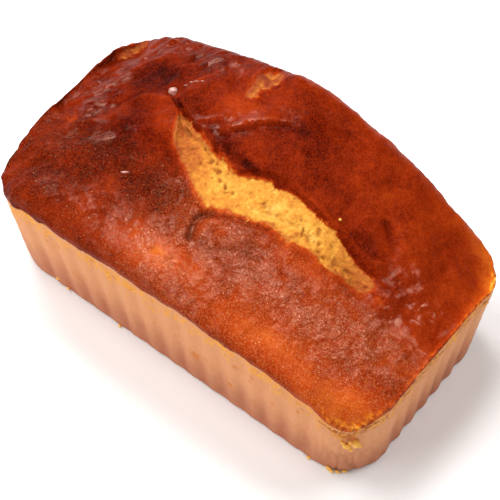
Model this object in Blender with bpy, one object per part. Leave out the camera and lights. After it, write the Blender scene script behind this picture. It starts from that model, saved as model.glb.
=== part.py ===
"""Pound cake loaf: one solid with fluted tapering sides and a domed top that has split open.

The frame has its origin at the middle of the flat base. X runs along the loaf, Z is up,
and the long torn split of the top lies near Y = 0.
"""
import math

import bmesh
import bpy
import numpy as np

# Driving sizes in metres
LENGTH = 0.205
WIDTH = 0.1094
RIM_HEIGHT = 0.0572
BASE_INSET = 0.0040
RIM_CORNER_RADIUS = 0.0215
BASE_CORNER_RADIUS = 0.0222
BASE_EDGE_RADIUS = 0.0014

# The upright flutes that the baking case leaves in the sides
LONG_SIDE_FLUTES = 14
END_FLUTES = 6
FLUTE_DEPTH = 0.0009
FLUTE_FADE_HEIGHT = 0.012
FLUTE_LEAST_SHARE = 0.35
LONG_FOOT_SHARE = 0.35
LONG_FOOT_HEIGHT = 0.010

# The line where the crust meets the side: bowed along the front, rippled all round
RIM_LIFT = 0.0020
RIM_BOW = 0.0045
RIM_BOW_MIDDLE_X = 0.020
RIM_BOW_REACH = 0.085
RIM_BOW_LIMIT = 0.003
RIM_RIPPLE = 0.0008
RIM_RIPPLE_REACH = 0.0062
END_RIM_LIFT = 0.0004
END_STARTS_X = 0.085
END_EASE = 0.012

# The dome
DOME_RISE = 0.0305
DOME_PEAK_X = -0.002
LEFT_FALL_POWER = 1.65
RIGHT_FALL_POWER = 1.80
DOME_HALF_LENGTH = 0.090
END_SWELL = 0.0045
FRONT_SHARE = 0.06
SLOPE_SHARE = 0.60
SLOPE_POWER = 0.85
BACK_SHARE = 0.34
BACK_RAMP_START_Y = -0.014
BACK_RAMP_LENGTH = 0.044
BACK_OVERHANG = 0.0066
BULGE_POWER = 1.5
BULGE_START_Y = 0.010
BULGE_EASE = 0.035
BULGE_LIFT = 0.32
EDGE_OVERHANG = 0.0003
EDGE_LIFT = 0.0012
FRONT_SHOULDER = 0.0055
END_SHOULDER = 0.0085
BACK_SHOULDER = 0.0150
SHOULDER_ENDS_X = 0.080
SHOULDER_EASE = 0.020

# Corners where the crust hangs lower: side in x, side in y, drop, reach along x, reach along y
CORNER_DROPS = (
    (1.0, 1.0, 0.0090, 0.066, 0.042),
    (-1.0, 1.0, 0.0032, 0.034, 0.042),
    (-1.0, -1.0, 0.0080, 0.026, 0.042),
    (1.0, -1.0, 0.0120, 0.030, 0.014),
)

# The split along the top: its two lips, the valley of crumb and the step up to the far lip
SPLIT_LEFT_X = -0.054
SPLIT_RIGHT_X = 0.074
NEAR_LIP = ((-0.054, 0.0178), (-0.0425, 0.0087), (-0.0370, -0.0008), (-0.0225, -0.0080), (-0.0100, -0.0148),
            (0.0134, -0.0108), (0.0214, -0.0084), (0.0294, -0.0099), (0.0410, -0.0069), (0.0480, -0.0090),
            (0.0640, -0.0062), (0.074, 0.0010))
FAR_LIP = ((-0.054, 0.0184), (-0.0343, 0.0100), (-0.0150, 0.0036), (-0.0057, 0.0014), (0.0023, 0.0064),
           (0.0235, 0.0086), (0.0364, 0.0062), (0.0468, 0.0052), (0.0627, 0.0018), (0.074, 0.0016))
LEAST_SPLIT_WIDTH = 0.003
VALLEY_DEPTH = 0.0024
VALLEY_POWER = 1.6
FAR_LIP_STEP = 0.0016
FAR_LIP_WIDTH = 0.0012
FAR_LIP_ROLL = 0.0010
FAR_LIP_ROLL_LENGTH = 0.007
SPLIT_END_EASE = 0.013
ROWS_ACROSS_HALF_SPLIT = 3.0
ROW_CALM = 0.004
NEARLY_ZERO = 1e-6

# Swells and hollows of the crust: x, y, length, width, turn in degrees, height
SWELLS = (
    (-0.0560, 0.0215, 0.0035, 0.0030, 0.0, -0.0030),
    (-0.0690, 0.0270, 0.0100, 0.0070, 30.0, -0.0016),
    (-0.0485, 0.0065, 0.0090, 0.0070, -30.0, 0.0014),
    (-0.0410, -0.0090, 0.0090, 0.0030, 53.0, 0.0009),
    (-0.0060, -0.0215, 0.0060, 0.0030, 107.0, -0.0018),
    (0.0095, -0.0205, 0.0130, 0.0060, -3.0, 0.0012),
    (-0.0160, 0.0200, 0.0170, 0.0035, 40.0, 0.0012),
    (-0.0450, 0.0265, 0.0110, 0.0030, 58.0, 0.0011),
    (-0.0205, 0.0460, 0.0055, 0.0090, 0.0, -0.0024),
    (-0.0060, 0.0500, 0.0170, 0.0200, 0.0, 0.0030),
    (-0.0855, 0.0020, 0.0045, 0.0045, 0.0, 0.0010),
    (0.0600, 0.0200, 0.0110, 0.0035, -50.0, -0.0011),
    (-0.1000, 0.0430, 0.0110, 0.0100, 0.0, -0.0050),
    (-0.1000, -0.0020, 0.0100, 0.0300, 0.0, -0.0012),
    (0.0300, -0.0350, 0.0250, 0.0100, 10.0, 0.0008),
)

# Slow unevenness of the baked crust
UNEVEN_SEED = 17
UNEVEN_WAVES = 14
UNEVEN_HEIGHT = 0.00045
UNEVEN_SHORTEST = 0.018
UNEVEN_LONGEST = 0.050

# Mesh counts
CORNER_STEPS = 5
STEPS_PER_FLUTE = 4
TOP_INSET = 0.0046
BACK_TOP_INSET = 0.0072
SHOULDER_RINGS = (0.62, 0.33, 0.12, 0.0)
WALL_LEVELS = (0.94, 0.80, 0.60, 0.40, 0.20, 0.08)
BASE_EDGE_RINGS = 3

LONG_STEPS = LONG_SIDE_FLUTES * STEPS_PER_FLUTE + 2 * CORNER_STEPS
END_STEPS = END_FLUTES * STEPS_PER_FLUTE + 2 * CORNER_STEPS


def smooth(value):
    """Ease from 0 to 1, flat at both ends."""
    held = np.clip(value, 0.0, 1.0)
    return held * held * (3.0 - 2.0 * held)


def quarter_round(value):
    """Rise from 0 to 1 along a quarter circle, upright at 0 and level at 1."""
    held = np.clip(value, 0.0, 1.0)
    return np.sqrt(1.0 - (1.0 - held) ** 2)


def through(knots, x):
    """Smooth curve through a few (x, value) knots."""
    places = np.array([knot[0] for knot in knots])
    values = np.array([knot[1] for knot in knots])
    index = np.clip(np.searchsorted(places, x) - 1, 0, len(places) - 2)
    slopes = np.gradient(values, places)
    span = places[index + 1] - places[index]
    t = np.clip((x - places[index]) / span, 0.0, 1.0)
    near = (1.0 + 2.0 * t) * (1.0 - t) ** 2 * values[index] + t * (1.0 - t) ** 2 * span * slopes[index]
    far = t * t * (3.0 - 2.0 * t) * values[index + 1] - t * t * (1.0 - t) * span * slopes[index + 1]
    return near + far


def side_curve(t, half_along, half_out, radius, corner_share):
    """Half corner, straight and half corner of one side: place along, place out and turn."""
    start_turn = math.pi / 4 * np.clip(1.0 - t / corner_share, 0.0, 1.0)
    end_turn = math.pi / 4 * np.clip(1.0 - (1.0 - t) / corner_share, 0.0, 1.0)
    straight = np.clip((t - corner_share) / (1.0 - 2.0 * corner_share), 0.0, 1.0)
    turn = end_turn - start_turn
    along = (half_along - radius) * (2.0 * straight - 1.0) + radius * np.sin(turn)
    out = half_out - radius + radius * np.cos(turn)
    return along, out, turn


def on_long_side(v):
    """Whether a place on the edge of the unit square belongs to the front or the far side."""
    return np.minimum(v, 1.0 - v) < NEARLY_ZERO


def to_edge(value):
    """Bring values that rounding left beside 0 or 1 back onto them."""
    return np.where(value < NEARLY_ZERO, 0.0, np.where(value > 1.0 - NEARLY_ZERO, 1.0, value))


def outline_point(u, v, inset, radius):
    """Point of the rounded outline for a place on the edge of the unit square, and its normal."""
    half_x = LENGTH / 2 - inset
    half_y = WIDTH / 2 - inset
    along_x, out_y, turn_x = side_curve(u, half_x, half_y, radius, CORNER_STEPS / LONG_STEPS)
    along_y, out_x, turn_y = side_curve(v, half_y, half_x, radius, CORNER_STEPS / END_STEPS)
    sign_y = np.where(v < 0.5, -1.0, 1.0)
    sign_x = np.where(u < 0.5, -1.0, 1.0)
    on_long = on_long_side(v)
    x = np.where(on_long, along_x, sign_x * out_x)
    y = np.where(on_long, sign_y * out_y, along_y)
    normal_x = np.where(on_long, np.sin(turn_x), sign_x * np.cos(turn_y))
    normal_y = np.where(on_long, sign_y * np.cos(turn_x), np.sin(turn_y))
    return x, y, normal_x, normal_y


def arch(x):
    """Fall of the dome from its peak towards both ends, 1 at the peak and about 0 at the ends."""
    place = (x - DOME_PEAK_X) / DOME_HALF_LENGTH
    left = np.clip(-place, 0.0, 1.15) ** LEFT_FALL_POWER
    right = np.clip(place, 0.0, 1.15) ** RIGHT_FALL_POWER
    return 1.0 - left - right


def back_weight(x, y):
    """How far a point belongs to the bulging far side, from 0 to 1."""
    return smooth((y - BULGE_START_Y) / BULGE_EASE) * np.clip(arch(x), 0.0, 1.0) ** BULGE_POWER


def overhang(x, y):
    """How far the crust stands out past the case line."""
    return EDGE_OVERHANG + (BACK_OVERHANG - EDGE_OVERHANG) * back_weight(x, y)


def corner_drop(x, y):
    """How much lower the crust hangs near each corner."""
    total = np.zeros_like(x)
    for side_x, side_y, drop, reach_x, reach_y in CORNER_DROPS:
        along = smooth((side_x * x - LENGTH / 2 + reach_x) / reach_x)
        across = smooth((side_y * y - WIDTH / 2 + reach_y) / reach_y)
        total += drop * along * across
    return total


def rim_height(x, y):
    """Height of the line where the crust meets the case side, uneven round the loaf."""
    bow = RIM_BOW * ((x - RIM_BOW_MIDDLE_X) / RIM_BOW_REACH) ** 2
    front = RIM_LIFT - bow + RIM_RIPPLE * np.sin(x / RIM_RIPPLE_REACH)
    front = np.clip(front, -RIM_BOW_LIMIT, RIM_BOW_LIMIT)
    end = END_RIM_LIFT + RIM_RIPPLE * np.sin((y + RIM_BOW_MIDDLE_X) / RIM_RIPPLE_REACH)
    is_end = smooth((np.abs(x) - END_STARTS_X) / END_EASE)
    wave = (1.0 - is_end) * front + is_end * end
    return RIM_HEIGHT + wave - corner_drop(x, y)


def uneven(x, y):
    """Slow seeded waves over the crust."""
    draw = np.random.default_rng(UNEVEN_SEED)
    total = np.zeros_like(x)
    for _ in range(UNEVEN_WAVES):
        length = draw.uniform(UNEVEN_SHORTEST, UNEVEN_LONGEST)
        heading = draw.uniform(0.0, math.pi)
        phase = draw.uniform(0.0, 2.0 * math.pi)
        along = x * math.cos(heading) + y * math.sin(heading)
        total += np.sin(2.0 * math.pi * along / length + phase)
    return total * UNEVEN_HEIGHT / math.sqrt(UNEVEN_WAVES / 2)


def swells(x, y):
    """Sum of the named swells and hollows."""
    total = np.zeros_like(x)
    for middle_x, middle_y, length, width, turn, height in SWELLS:
        angle = math.radians(turn)
        along = (x - middle_x) * math.cos(angle) + (y - middle_y) * math.sin(angle)
        across = (y - middle_y) * math.cos(angle) - (x - middle_x) * math.sin(angle)
        total += height * np.exp(-(along / length) ** 2 - (across / width) ** 2)
    return total


def crown(x, y):
    """Height of the dome without its rounded edges."""
    slope = np.clip((y + WIDTH / 2) / (WIDTH / 2), 0.0, 1.0)
    ramp = smooth((y - BACK_RAMP_START_Y) / BACK_RAMP_LENGTH)
    share = FRONT_SHARE + SLOPE_SHARE * slope ** SLOPE_POWER + BACK_SHARE * ramp
    return RIM_HEIGHT + END_SWELL - corner_drop(x, y) + DOME_RISE * arch(x) * share


def split_lips(x):
    """Y of the near and far lip of the split."""
    return through(NEAR_LIP, x), through(FAR_LIP, x)


def split_relief(x, y):
    """Change of height by the split: a valley of crumb, a step and a rolled far lip."""
    near, far = split_lips(x)
    inside = smooth((x - SPLIT_LEFT_X) / SPLIT_END_EASE) * smooth((SPLIT_RIGHT_X - x) / SPLIT_END_EASE)
    across = np.clip((y - near) / np.maximum(far - near, NEARLY_ZERO), 0.0, 1.0)
    valley = 1.0 - np.abs(2.0 * across - 1.0) ** VALLEY_POWER
    crumb = -FAR_LIP_STEP * across ** 2 - VALLEY_DEPTH * valley
    past = y - far
    step = np.clip(1.0 - past / FAR_LIP_WIDTH, 0.0, 1.0)
    roll = FAR_LIP_ROLL * np.exp(-np.clip(past, 0.0, None) / FAR_LIP_ROLL_LENGTH)
    beyond = -FAR_LIP_STEP * step + roll * (1.0 - step)
    return inside * np.where(y <= near, 0.0, np.where(past <= 0.0, crumb, beyond))


def edge_distance(x, y):
    """Distance in from the outline of the crust."""
    out = overhang(x, y)
    half_y = WIDTH / 2 + out
    half_x = LENGTH / 2 + EDGE_OVERHANG
    past_x = np.abs(x) - (half_x - RIM_CORNER_RADIUS)
    past_y = np.abs(y) - (half_y - RIM_CORNER_RADIUS)
    outside = np.hypot(np.clip(past_x, 0.0, None), np.clip(past_y, 0.0, None))
    inside = np.minimum(np.maximum(past_x, past_y), 0.0)
    return RIM_CORNER_RADIUS - outside - inside


def edge_height(x, y):
    """Height of the crust's outermost line, a little over the case line, higher on the far side."""
    low = rim_height(x, y) + EDGE_LIFT
    bulge = BULGE_LIFT * np.clip(crown(x, y) - low, 0.0, None)
    return low + bulge * back_weight(x, y)


def shoulder(x, y):
    """Radius over which the crust rounds down to its edge."""
    ends = smooth((np.abs(x) - SHOULDER_ENDS_X) / SHOULDER_EASE)
    back = back_weight(x, y)
    radius = FRONT_SHOULDER + (BACK_SHOULDER - FRONT_SHOULDER) * back
    return radius + (END_SHOULDER - FRONT_SHOULDER) * ends * (1.0 - back)


def crust_height(x, y):
    """Height of the finished crust."""
    rise = quarter_round(edge_distance(x, y) / shoulder(x, y))
    low = edge_height(x, y)
    relief = swells(x, y) + uneven(x, y) + split_relief(x, y)
    return low + (crown(x, y) - low + relief) * rise


def follow_split(x, y):
    """Draw the even rows of the sheet together so that they run along the lips of the split."""
    row = WIDTH / END_STEPS
    near, far = split_lips(np.clip(x, SPLIT_LEFT_X, SPLIT_RIGHT_X))
    middle = 0.5 * (near + far)
    near = np.minimum(near, middle - LEAST_SPLIT_WIDTH / 2)
    far = np.maximum(far, middle + LEAST_SPLIT_WIDTH / 2)
    edge = WIDTH / 2
    lip_row = ROWS_ACROSS_HALF_SPLIT * row
    rows = (-edge, -lip_row, lip_row, lip_row + row, edge)
    lines = (-edge + 0.0 * x, near, far, far + FAR_LIP_WIDTH, edge + 0.0 * x)
    warped = y.copy()
    for index in range(len(rows) - 1):
        inside = (y >= rows[index]) & (y <= rows[index + 1])
        t = (y - rows[index]) / (rows[index + 1] - rows[index])
        line = lines[index] * (1.0 - t) + lines[index + 1] * t
        warped = np.where(inside, line, warped)
    left = smooth((x + LENGTH / 2) / (SPLIT_LEFT_X + LENGTH / 2 - ROW_CALM))
    right = smooth((LENGTH / 2 - x) / (LENGTH / 2 - SPLIT_RIGHT_X - ROW_CALM))
    weight = left * right
    return y * (1.0 - weight) + warped * weight


def top_inset(x, y):
    """How far in from the outline the top sheet ends."""
    return TOP_INSET + (BACK_TOP_INSET - TOP_INSET) * back_weight(x, y)


def crust_edge(u, v, share):
    """Point on the shoulder: share 1 at the top sheet's border, 0 at the outermost line."""
    x, y, normal_x, normal_y = outline_point(u, v, 0.0, RIM_CORNER_RADIUS)
    out = overhang(x, y)
    move = out - share * (top_inset(x, y) + out)
    return x + normal_x * move, y + normal_y * move


def sheet_plan(u, v):
    """Plan of the top sheet: four border curves blended over the unit square."""
    zero = np.zeros_like(u)
    one = np.ones_like(u)
    front = crust_edge(u, zero, 1.0)
    back = crust_edge(u, one, 1.0)
    left = crust_edge(zero, v, 1.0)
    right = crust_edge(one, v, 1.0)
    plan = []
    for axis in range(2):
        corners = []
        for corner_u in (zero, one):
            for corner_v in (zero, one):
                corners.append(crust_edge(corner_u, corner_v, 1.0)[axis])
        low = corners[0] * (1.0 - v) + corners[1] * v
        high = corners[2] * (1.0 - v) + corners[3] * v
        blend = front[axis] * (1.0 - v) + back[axis] * v
        blend = blend + left[axis] * (1.0 - u) + right[axis] * u
        plan.append(blend - low * (1.0 - u) - high * u)
    return plan[0], plan[1]


def flute(u, v):
    """Wave of the flutes along the outline, from -0.5 on a crest to 0.5 in a groove."""
    long_t = np.clip((u * LONG_STEPS - CORNER_STEPS) / STEPS_PER_FLUTE, 0.0, LONG_SIDE_FLUTES)
    end_t = np.clip((v * END_STEPS - CORNER_STEPS) / STEPS_PER_FLUTE, 0.0, END_FLUTES)
    turns = np.where(on_long_side(v), long_t, end_t)
    return -0.5 * np.cos(2.0 * math.pi * turns)


def foot_share(normal_y, z):
    """Share of the flutes left near the foot, where the long sides' flutes run out."""
    return 1.0 - (1.0 - LONG_FOOT_SHARE) * normal_y ** 2 * (1.0 - smooth(z / LONG_FOOT_HEIGHT))


def wall_ring(u, v, level):
    """Ring of the side: level 1 just under the crust line, 0 at the top of the base edge."""
    low = BASE_EDGE_RADIUS
    radius = BASE_CORNER_RADIUS + (RIM_CORNER_RADIUS - BASE_CORNER_RADIUS) * level
    inset = BASE_INSET * (1.0 - level)
    x, y, normal_x, normal_y = outline_point(u, v, inset, radius)
    top = rim_height(x, y)
    z = low + (top - low) * level
    fade = smooth((top - z) / FLUTE_FADE_HEIGHT)
    depth = FLUTE_DEPTH * flute(u, v) * (FLUTE_LEAST_SHARE + (1.0 - FLUTE_LEAST_SHARE) * fade)
    depth = depth * foot_share(normal_y, z)
    return x - normal_x * depth, y - normal_y * depth, z


def base_ring(u, v, angle):
    """Ring of the rounded edge between the side and the flat base."""
    radius = BASE_EDGE_RADIUS
    inset = BASE_INSET + radius * (1.0 - math.cos(angle))
    x, y, normal_x, normal_y = outline_point(u, v, inset, BASE_CORNER_RADIUS)
    z = np.full_like(x, radius * (1.0 - math.sin(angle)))
    depth = FLUTE_DEPTH * flute(u, v) * foot_share(normal_y, z)
    return x - normal_x * depth, y - normal_y * depth, z


def shoulder_ring(u, v, share):
    """Ring of the crust's rounded shoulder."""
    x, y = crust_edge(u, v, share)
    return x, y, crust_height(x, y)


def place(vertices, points):
    """Move the vertices to the computed points."""
    for vertex, x, y, z in zip(vertices, *points):
        vertex.co = (x, y, z)


def build_loaf():
    """Grow the loaf from its top sheet: shoulder rings, side rings, rounded edge, flat base."""
    shape = bmesh.new()
    layer_u = shape.verts.layers.float.new("u")
    layer_v = shape.verts.layers.float.new("v")
    sheet = bmesh.ops.create_grid(shape, x_segments=LONG_STEPS, y_segments=END_STEPS, size=0.5)
    vertices = sheet["verts"]
    u = np.array([vertex.co.x + 0.5 for vertex in vertices])
    v = np.array([vertex.co.y + 0.5 for vertex in vertices])
    for vertex, place_u, place_v in zip(vertices, u, v):
        vertex[layer_u] = place_u
        vertex[layer_v] = place_v
    x, y = sheet_plan(u, v)
    y = follow_split(x, y)
    place(vertices, (x, y, crust_height(x, y)))

    rings = []
    for share in SHOULDER_RINGS:
        rings.append((shoulder_ring, share))
    for level in WALL_LEVELS:
        rings.append((wall_ring, level))
    for step in range(BASE_EDGE_RINGS + 1):
        rings.append((base_ring, math.pi / 2 * step / BASE_EDGE_RINGS))
    edges = [edge for edge in shape.edges if edge.is_boundary]
    for ring, value in rings:
        grown = bmesh.ops.extrude_edge_only(shape, edges=edges)["geom"]
        fresh = [item for item in grown if isinstance(item, bmesh.types.BMVert)]
        edges = [item for item in grown if isinstance(item, bmesh.types.BMEdge) and item.is_boundary]
        ring_u = to_edge(np.array([vertex[layer_u] for vertex in fresh]))
        ring_v = to_edge(np.array([vertex[layer_v] for vertex in fresh]))
        place(fresh, ring(ring_u, ring_v, value))
    bmesh.ops.contextual_create(shape, geom=edges)
    bmesh.ops.triangulate(shape, faces=shape.faces[:])
    bmesh.ops.recalc_face_normals(shape, faces=shape.faces[:])

    mesh = bpy.data.meshes.new("pound_cake_loaf")
    shape.to_mesh(mesh)
    shape.free()
    mesh.shade_smooth()
    mesh.set_sharp_from_angle(angle=math.radians(50))
    return mesh


def crust_material():
    """Glossy red-brown crust."""
    material = bpy.data.materials.new("crust")
    material.use_nodes = True
    shader = material.node_tree.nodes["Principled BSDF"]
    shader.inputs["Base Color"].default_value = (0.33, 0.075, 0.016, 1.0)
    shader.inputs["Roughness"].default_value = 0.32
    shader.inputs["Metallic"].default_value = 0.0
    return material


def main():
    """Clear the scene and build the loaf."""
    for item in list(bpy.data.objects):
        bpy.data.objects.remove(item, do_unlink=True)
    loaf = bpy.data.objects.new("pound_cake_loaf", build_loaf())
    loaf.data.materials.append(crust_material())
    bpy.context.scene.collection.objects.link(loaf)


main()
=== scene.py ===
"""Looks of the pound cake loaf: crust, torn crumb, fluted sides, loose crumbs and the studio round them."""
import logging
import math
from dataclasses import dataclass, fields
from enum import Enum

import bmesh
import bpy
import numpy as np
from mathutils import Matrix, Vector


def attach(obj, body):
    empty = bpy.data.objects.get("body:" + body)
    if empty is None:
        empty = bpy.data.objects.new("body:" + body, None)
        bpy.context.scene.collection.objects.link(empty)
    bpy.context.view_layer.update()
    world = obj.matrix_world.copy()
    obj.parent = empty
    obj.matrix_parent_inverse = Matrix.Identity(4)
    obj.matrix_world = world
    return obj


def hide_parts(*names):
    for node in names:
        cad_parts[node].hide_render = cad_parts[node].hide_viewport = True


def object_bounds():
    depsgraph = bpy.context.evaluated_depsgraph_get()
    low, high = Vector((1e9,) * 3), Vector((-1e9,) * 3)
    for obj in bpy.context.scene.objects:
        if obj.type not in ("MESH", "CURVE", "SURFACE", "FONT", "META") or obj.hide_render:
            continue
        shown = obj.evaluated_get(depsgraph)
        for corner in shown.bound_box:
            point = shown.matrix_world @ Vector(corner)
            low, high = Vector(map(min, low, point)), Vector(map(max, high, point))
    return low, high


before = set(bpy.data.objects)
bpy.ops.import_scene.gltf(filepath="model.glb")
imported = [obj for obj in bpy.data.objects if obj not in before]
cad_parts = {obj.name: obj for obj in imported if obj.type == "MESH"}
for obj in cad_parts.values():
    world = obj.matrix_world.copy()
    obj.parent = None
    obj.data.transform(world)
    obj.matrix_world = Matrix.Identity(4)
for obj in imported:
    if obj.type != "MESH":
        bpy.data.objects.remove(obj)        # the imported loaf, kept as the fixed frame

CAD_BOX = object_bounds()
LEDGE_STEP = 0.005       # height of one torn ledge of crust, in metres
LEDGE_REACH = 0.02       # height that the mask "depth" spans, in metres
ROOM_EASE = 0.00025      # stretch before the box's wall over which moves are eased off, in metres
LEAST_SLANT = 0.05       # least share of a move that counts as heading for a wall of the box
NOISE_MIDDLE = 0.5       # middle of a Noise node's values
NEARLY_ZERO = 1e-6       # keeps divisors off 0, and tells an edge of the unit square
MM = 0.001               # a millimetre in metres
LOAF_NODE = "pound_cake_loaf"
BODY = "root"
Array = np.ndarray
Band = tuple[float, float]
Colour = tuple[float, float, float]
Knots = tuple[tuple[float, ...], ...]

log = logging.getLogger("pound_cake_loaf")


def in_metres(rows: Knots) -> Knots:
    """Rows of millimetres as rows of metres."""
    return tuple(tuple(value * MM for value in row) for row in rows)


def smooth(value: Array) -> Array:
    """Ease from 0 to 1, flat at both ends."""
    held = np.clip(value, 0.0, 1.0)
    return held * held * (3.0 - 2.0 * held)


def quarter_round(value: Array) -> Array:
    """Rise from 0 to 1 along a quarter circle, upright at 0 and level at 1."""
    held = np.clip(value, 0.0, 1.0)
    return np.sqrt(1.0 - (1.0 - held) ** 2)


def turned(x: Array, y: Array, degrees: float) -> tuple[Array, Array]:
    """Places along and across a direction that is turned by some degrees from the loaf's length."""
    angle = math.radians(degrees)
    return x * math.cos(angle) + y * math.sin(angle), y * math.cos(angle) - x * math.sin(angle)


def through(knots: Knots, x: Array) -> Array:
    """Smooth curve through a few knots.

    Args:
        knots: Pairs of place and value, in rising order of place.
        x: Places to read.

    Returns:
        The curve's value at each place, held at its end slopes' side beyond the last knots.
    """
    places = np.array([knot[0] for knot in knots])
    values = np.array([knot[1] for knot in knots])
    index = np.clip(np.searchsorted(places, x) - 1, 0, len(places) - 2)
    slopes = np.gradient(values, places)
    span = places[index + 1] - places[index]
    t = np.clip((x - places[index]) / span, 0.0, 1.0)
    near = (1.0 + 2.0 * t) * (1.0 - t) ** 2 * values[index] + t * (1.0 - t) ** 2 * span * slopes[index]
    far = t * t * (3.0 - 2.0 * t) * values[index + 1] - t * t * (1.0 - t) * span * slopes[index + 1]
    return near + far


class Grain:
    """Seeded gradient noise in space, worked out for whole arrays of points."""

    TABLE = 256
    SPREAD = 1.6
    OCTAVE_SHIFT = 0.37

    def __init__(self, seed: int) -> None:
        """Draw the lattice's directions.

        Args:
            seed: Start of the random draw, so that each run gives the same grain.
        """
        draw = np.random.default_rng(seed)
        self.order = draw.permutation(self.TABLE)
        directions = draw.normal(size=(self.TABLE, 3))
        self.directions = directions / np.linalg.norm(directions, axis=1)[:, None]

    def _pick(self, cell: Array) -> Array:
        """Direction at each lattice corner.

        Args:
            cell: Lattice corners, one a row.

        Returns:
            Unit vectors, one a row.
        """
        mixed = 0
        for axis in range(3):
            mixed = self.order[(mixed + cell[:, axis]) % self.TABLE]
        return self.directions[mixed]

    def at(self, points: Array, size: float) -> Array:
        """Noise of one size.

        Args:
            points: Points in metres, one a row.
            size: Spacing of the noise's lattice in metres.

        Returns:
            One value a point, mostly between -1 and 1.
        """
        scaled = points / size
        cell = np.floor(scaled).astype(np.int64)
        part = scaled - cell
        ease = part * part * part * (part * (part * 6.0 - 15.0) + 10.0)
        total = np.zeros(len(points))
        for corner in np.ndindex(2, 2, 2):
            step = np.array(corner)
            weight = np.prod(np.where(step == 1, ease, 1.0 - ease), axis=1)
            total += weight * np.einsum("ij,ij->i", self._pick(cell + step), part - step)
        return total * self.SPREAD

    def fractal(self, points: Array, size: float, octaves: int, gain: float) -> Array:
        """Noise summed over halving sizes.

        Args:
            points: Points in metres, one a row.
            size: Largest lattice spacing.
            octaves: How many sizes are summed.
            gain: Share of each size against the one above.

        Returns:
            One value a point.
        """
        total = np.zeros(len(points))
        share = 1.0
        for octave in range(octaves):
            total += share * self.at(points + self.OCTAVE_SHIFT * octave, size / 2 ** octave)
            share *= gain
        return total


Grains = tuple[Grain, Grain, Grain]


@dataclass(frozen=True)
class NoiseKind:
    """One kind of noise: its largest size, how many halving sizes it sums, and their falling share."""

    size: float
    octaves: int = 1
    gain: float = 0.5

    def over(self, grain: Grain, points: Array) -> Array:
        """Noise of this kind at each point."""
        return grain.fractal(points, self.size, self.octaves, self.gain)


@dataclass(frozen=True)
class Creasing:
    """Creased noise: 1 along thin lines, falling to 0 between them."""

    noise: NoiseKind
    contrast: float
    power: float

    def over(self, grain: Grain, points: Array) -> Array:
        """Creased noise at each point."""
        held = np.clip(self.noise.over(grain, points) * self.contrast, -1.0, 1.0)
        return 1.0 - np.abs(held) ** self.power


@dataclass(frozen=True)
class Ease:
    """Smooth step from 0 at its start to 1 at its end; a length below zero runs the other way."""

    start: float
    length: float

    def of(self, value: Array) -> Array:
        """The step at each value, from 0 to 1."""
        return smooth((value - self.start) / self.length)


@dataclass(frozen=True)
class Spot:
    """A soft oval place on the crust, used for swells, hollows, tears and baked colour."""

    x: float
    y: float
    length: float
    width: float
    turn: float
    amount: float

    def share(self, x: Array, y: Array) -> Array:
        """How far each point belongs to the spot, 1 at its middle."""
        along, across = turned(x - self.x, y - self.y, self.turn)
        return np.exp(-(along / self.length) ** 2 - (across / self.width) ** 2)


def spots(rows: tuple) -> tuple[Spot, ...]:
    """Spots from rows of x, y, length and width in millimetres, turn in degrees and amount."""
    return tuple(Spot(*(value * MM for value in row[:4]), *row[4:]) for row in rows)


def total_of(places: tuple[Spot, ...], x: Array, y: Array) -> Array:
    """Sum of spots at each point, each times its amount."""
    return sum((spot.amount * spot.share(x, y) for spot in places), np.zeros_like(x))


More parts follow.
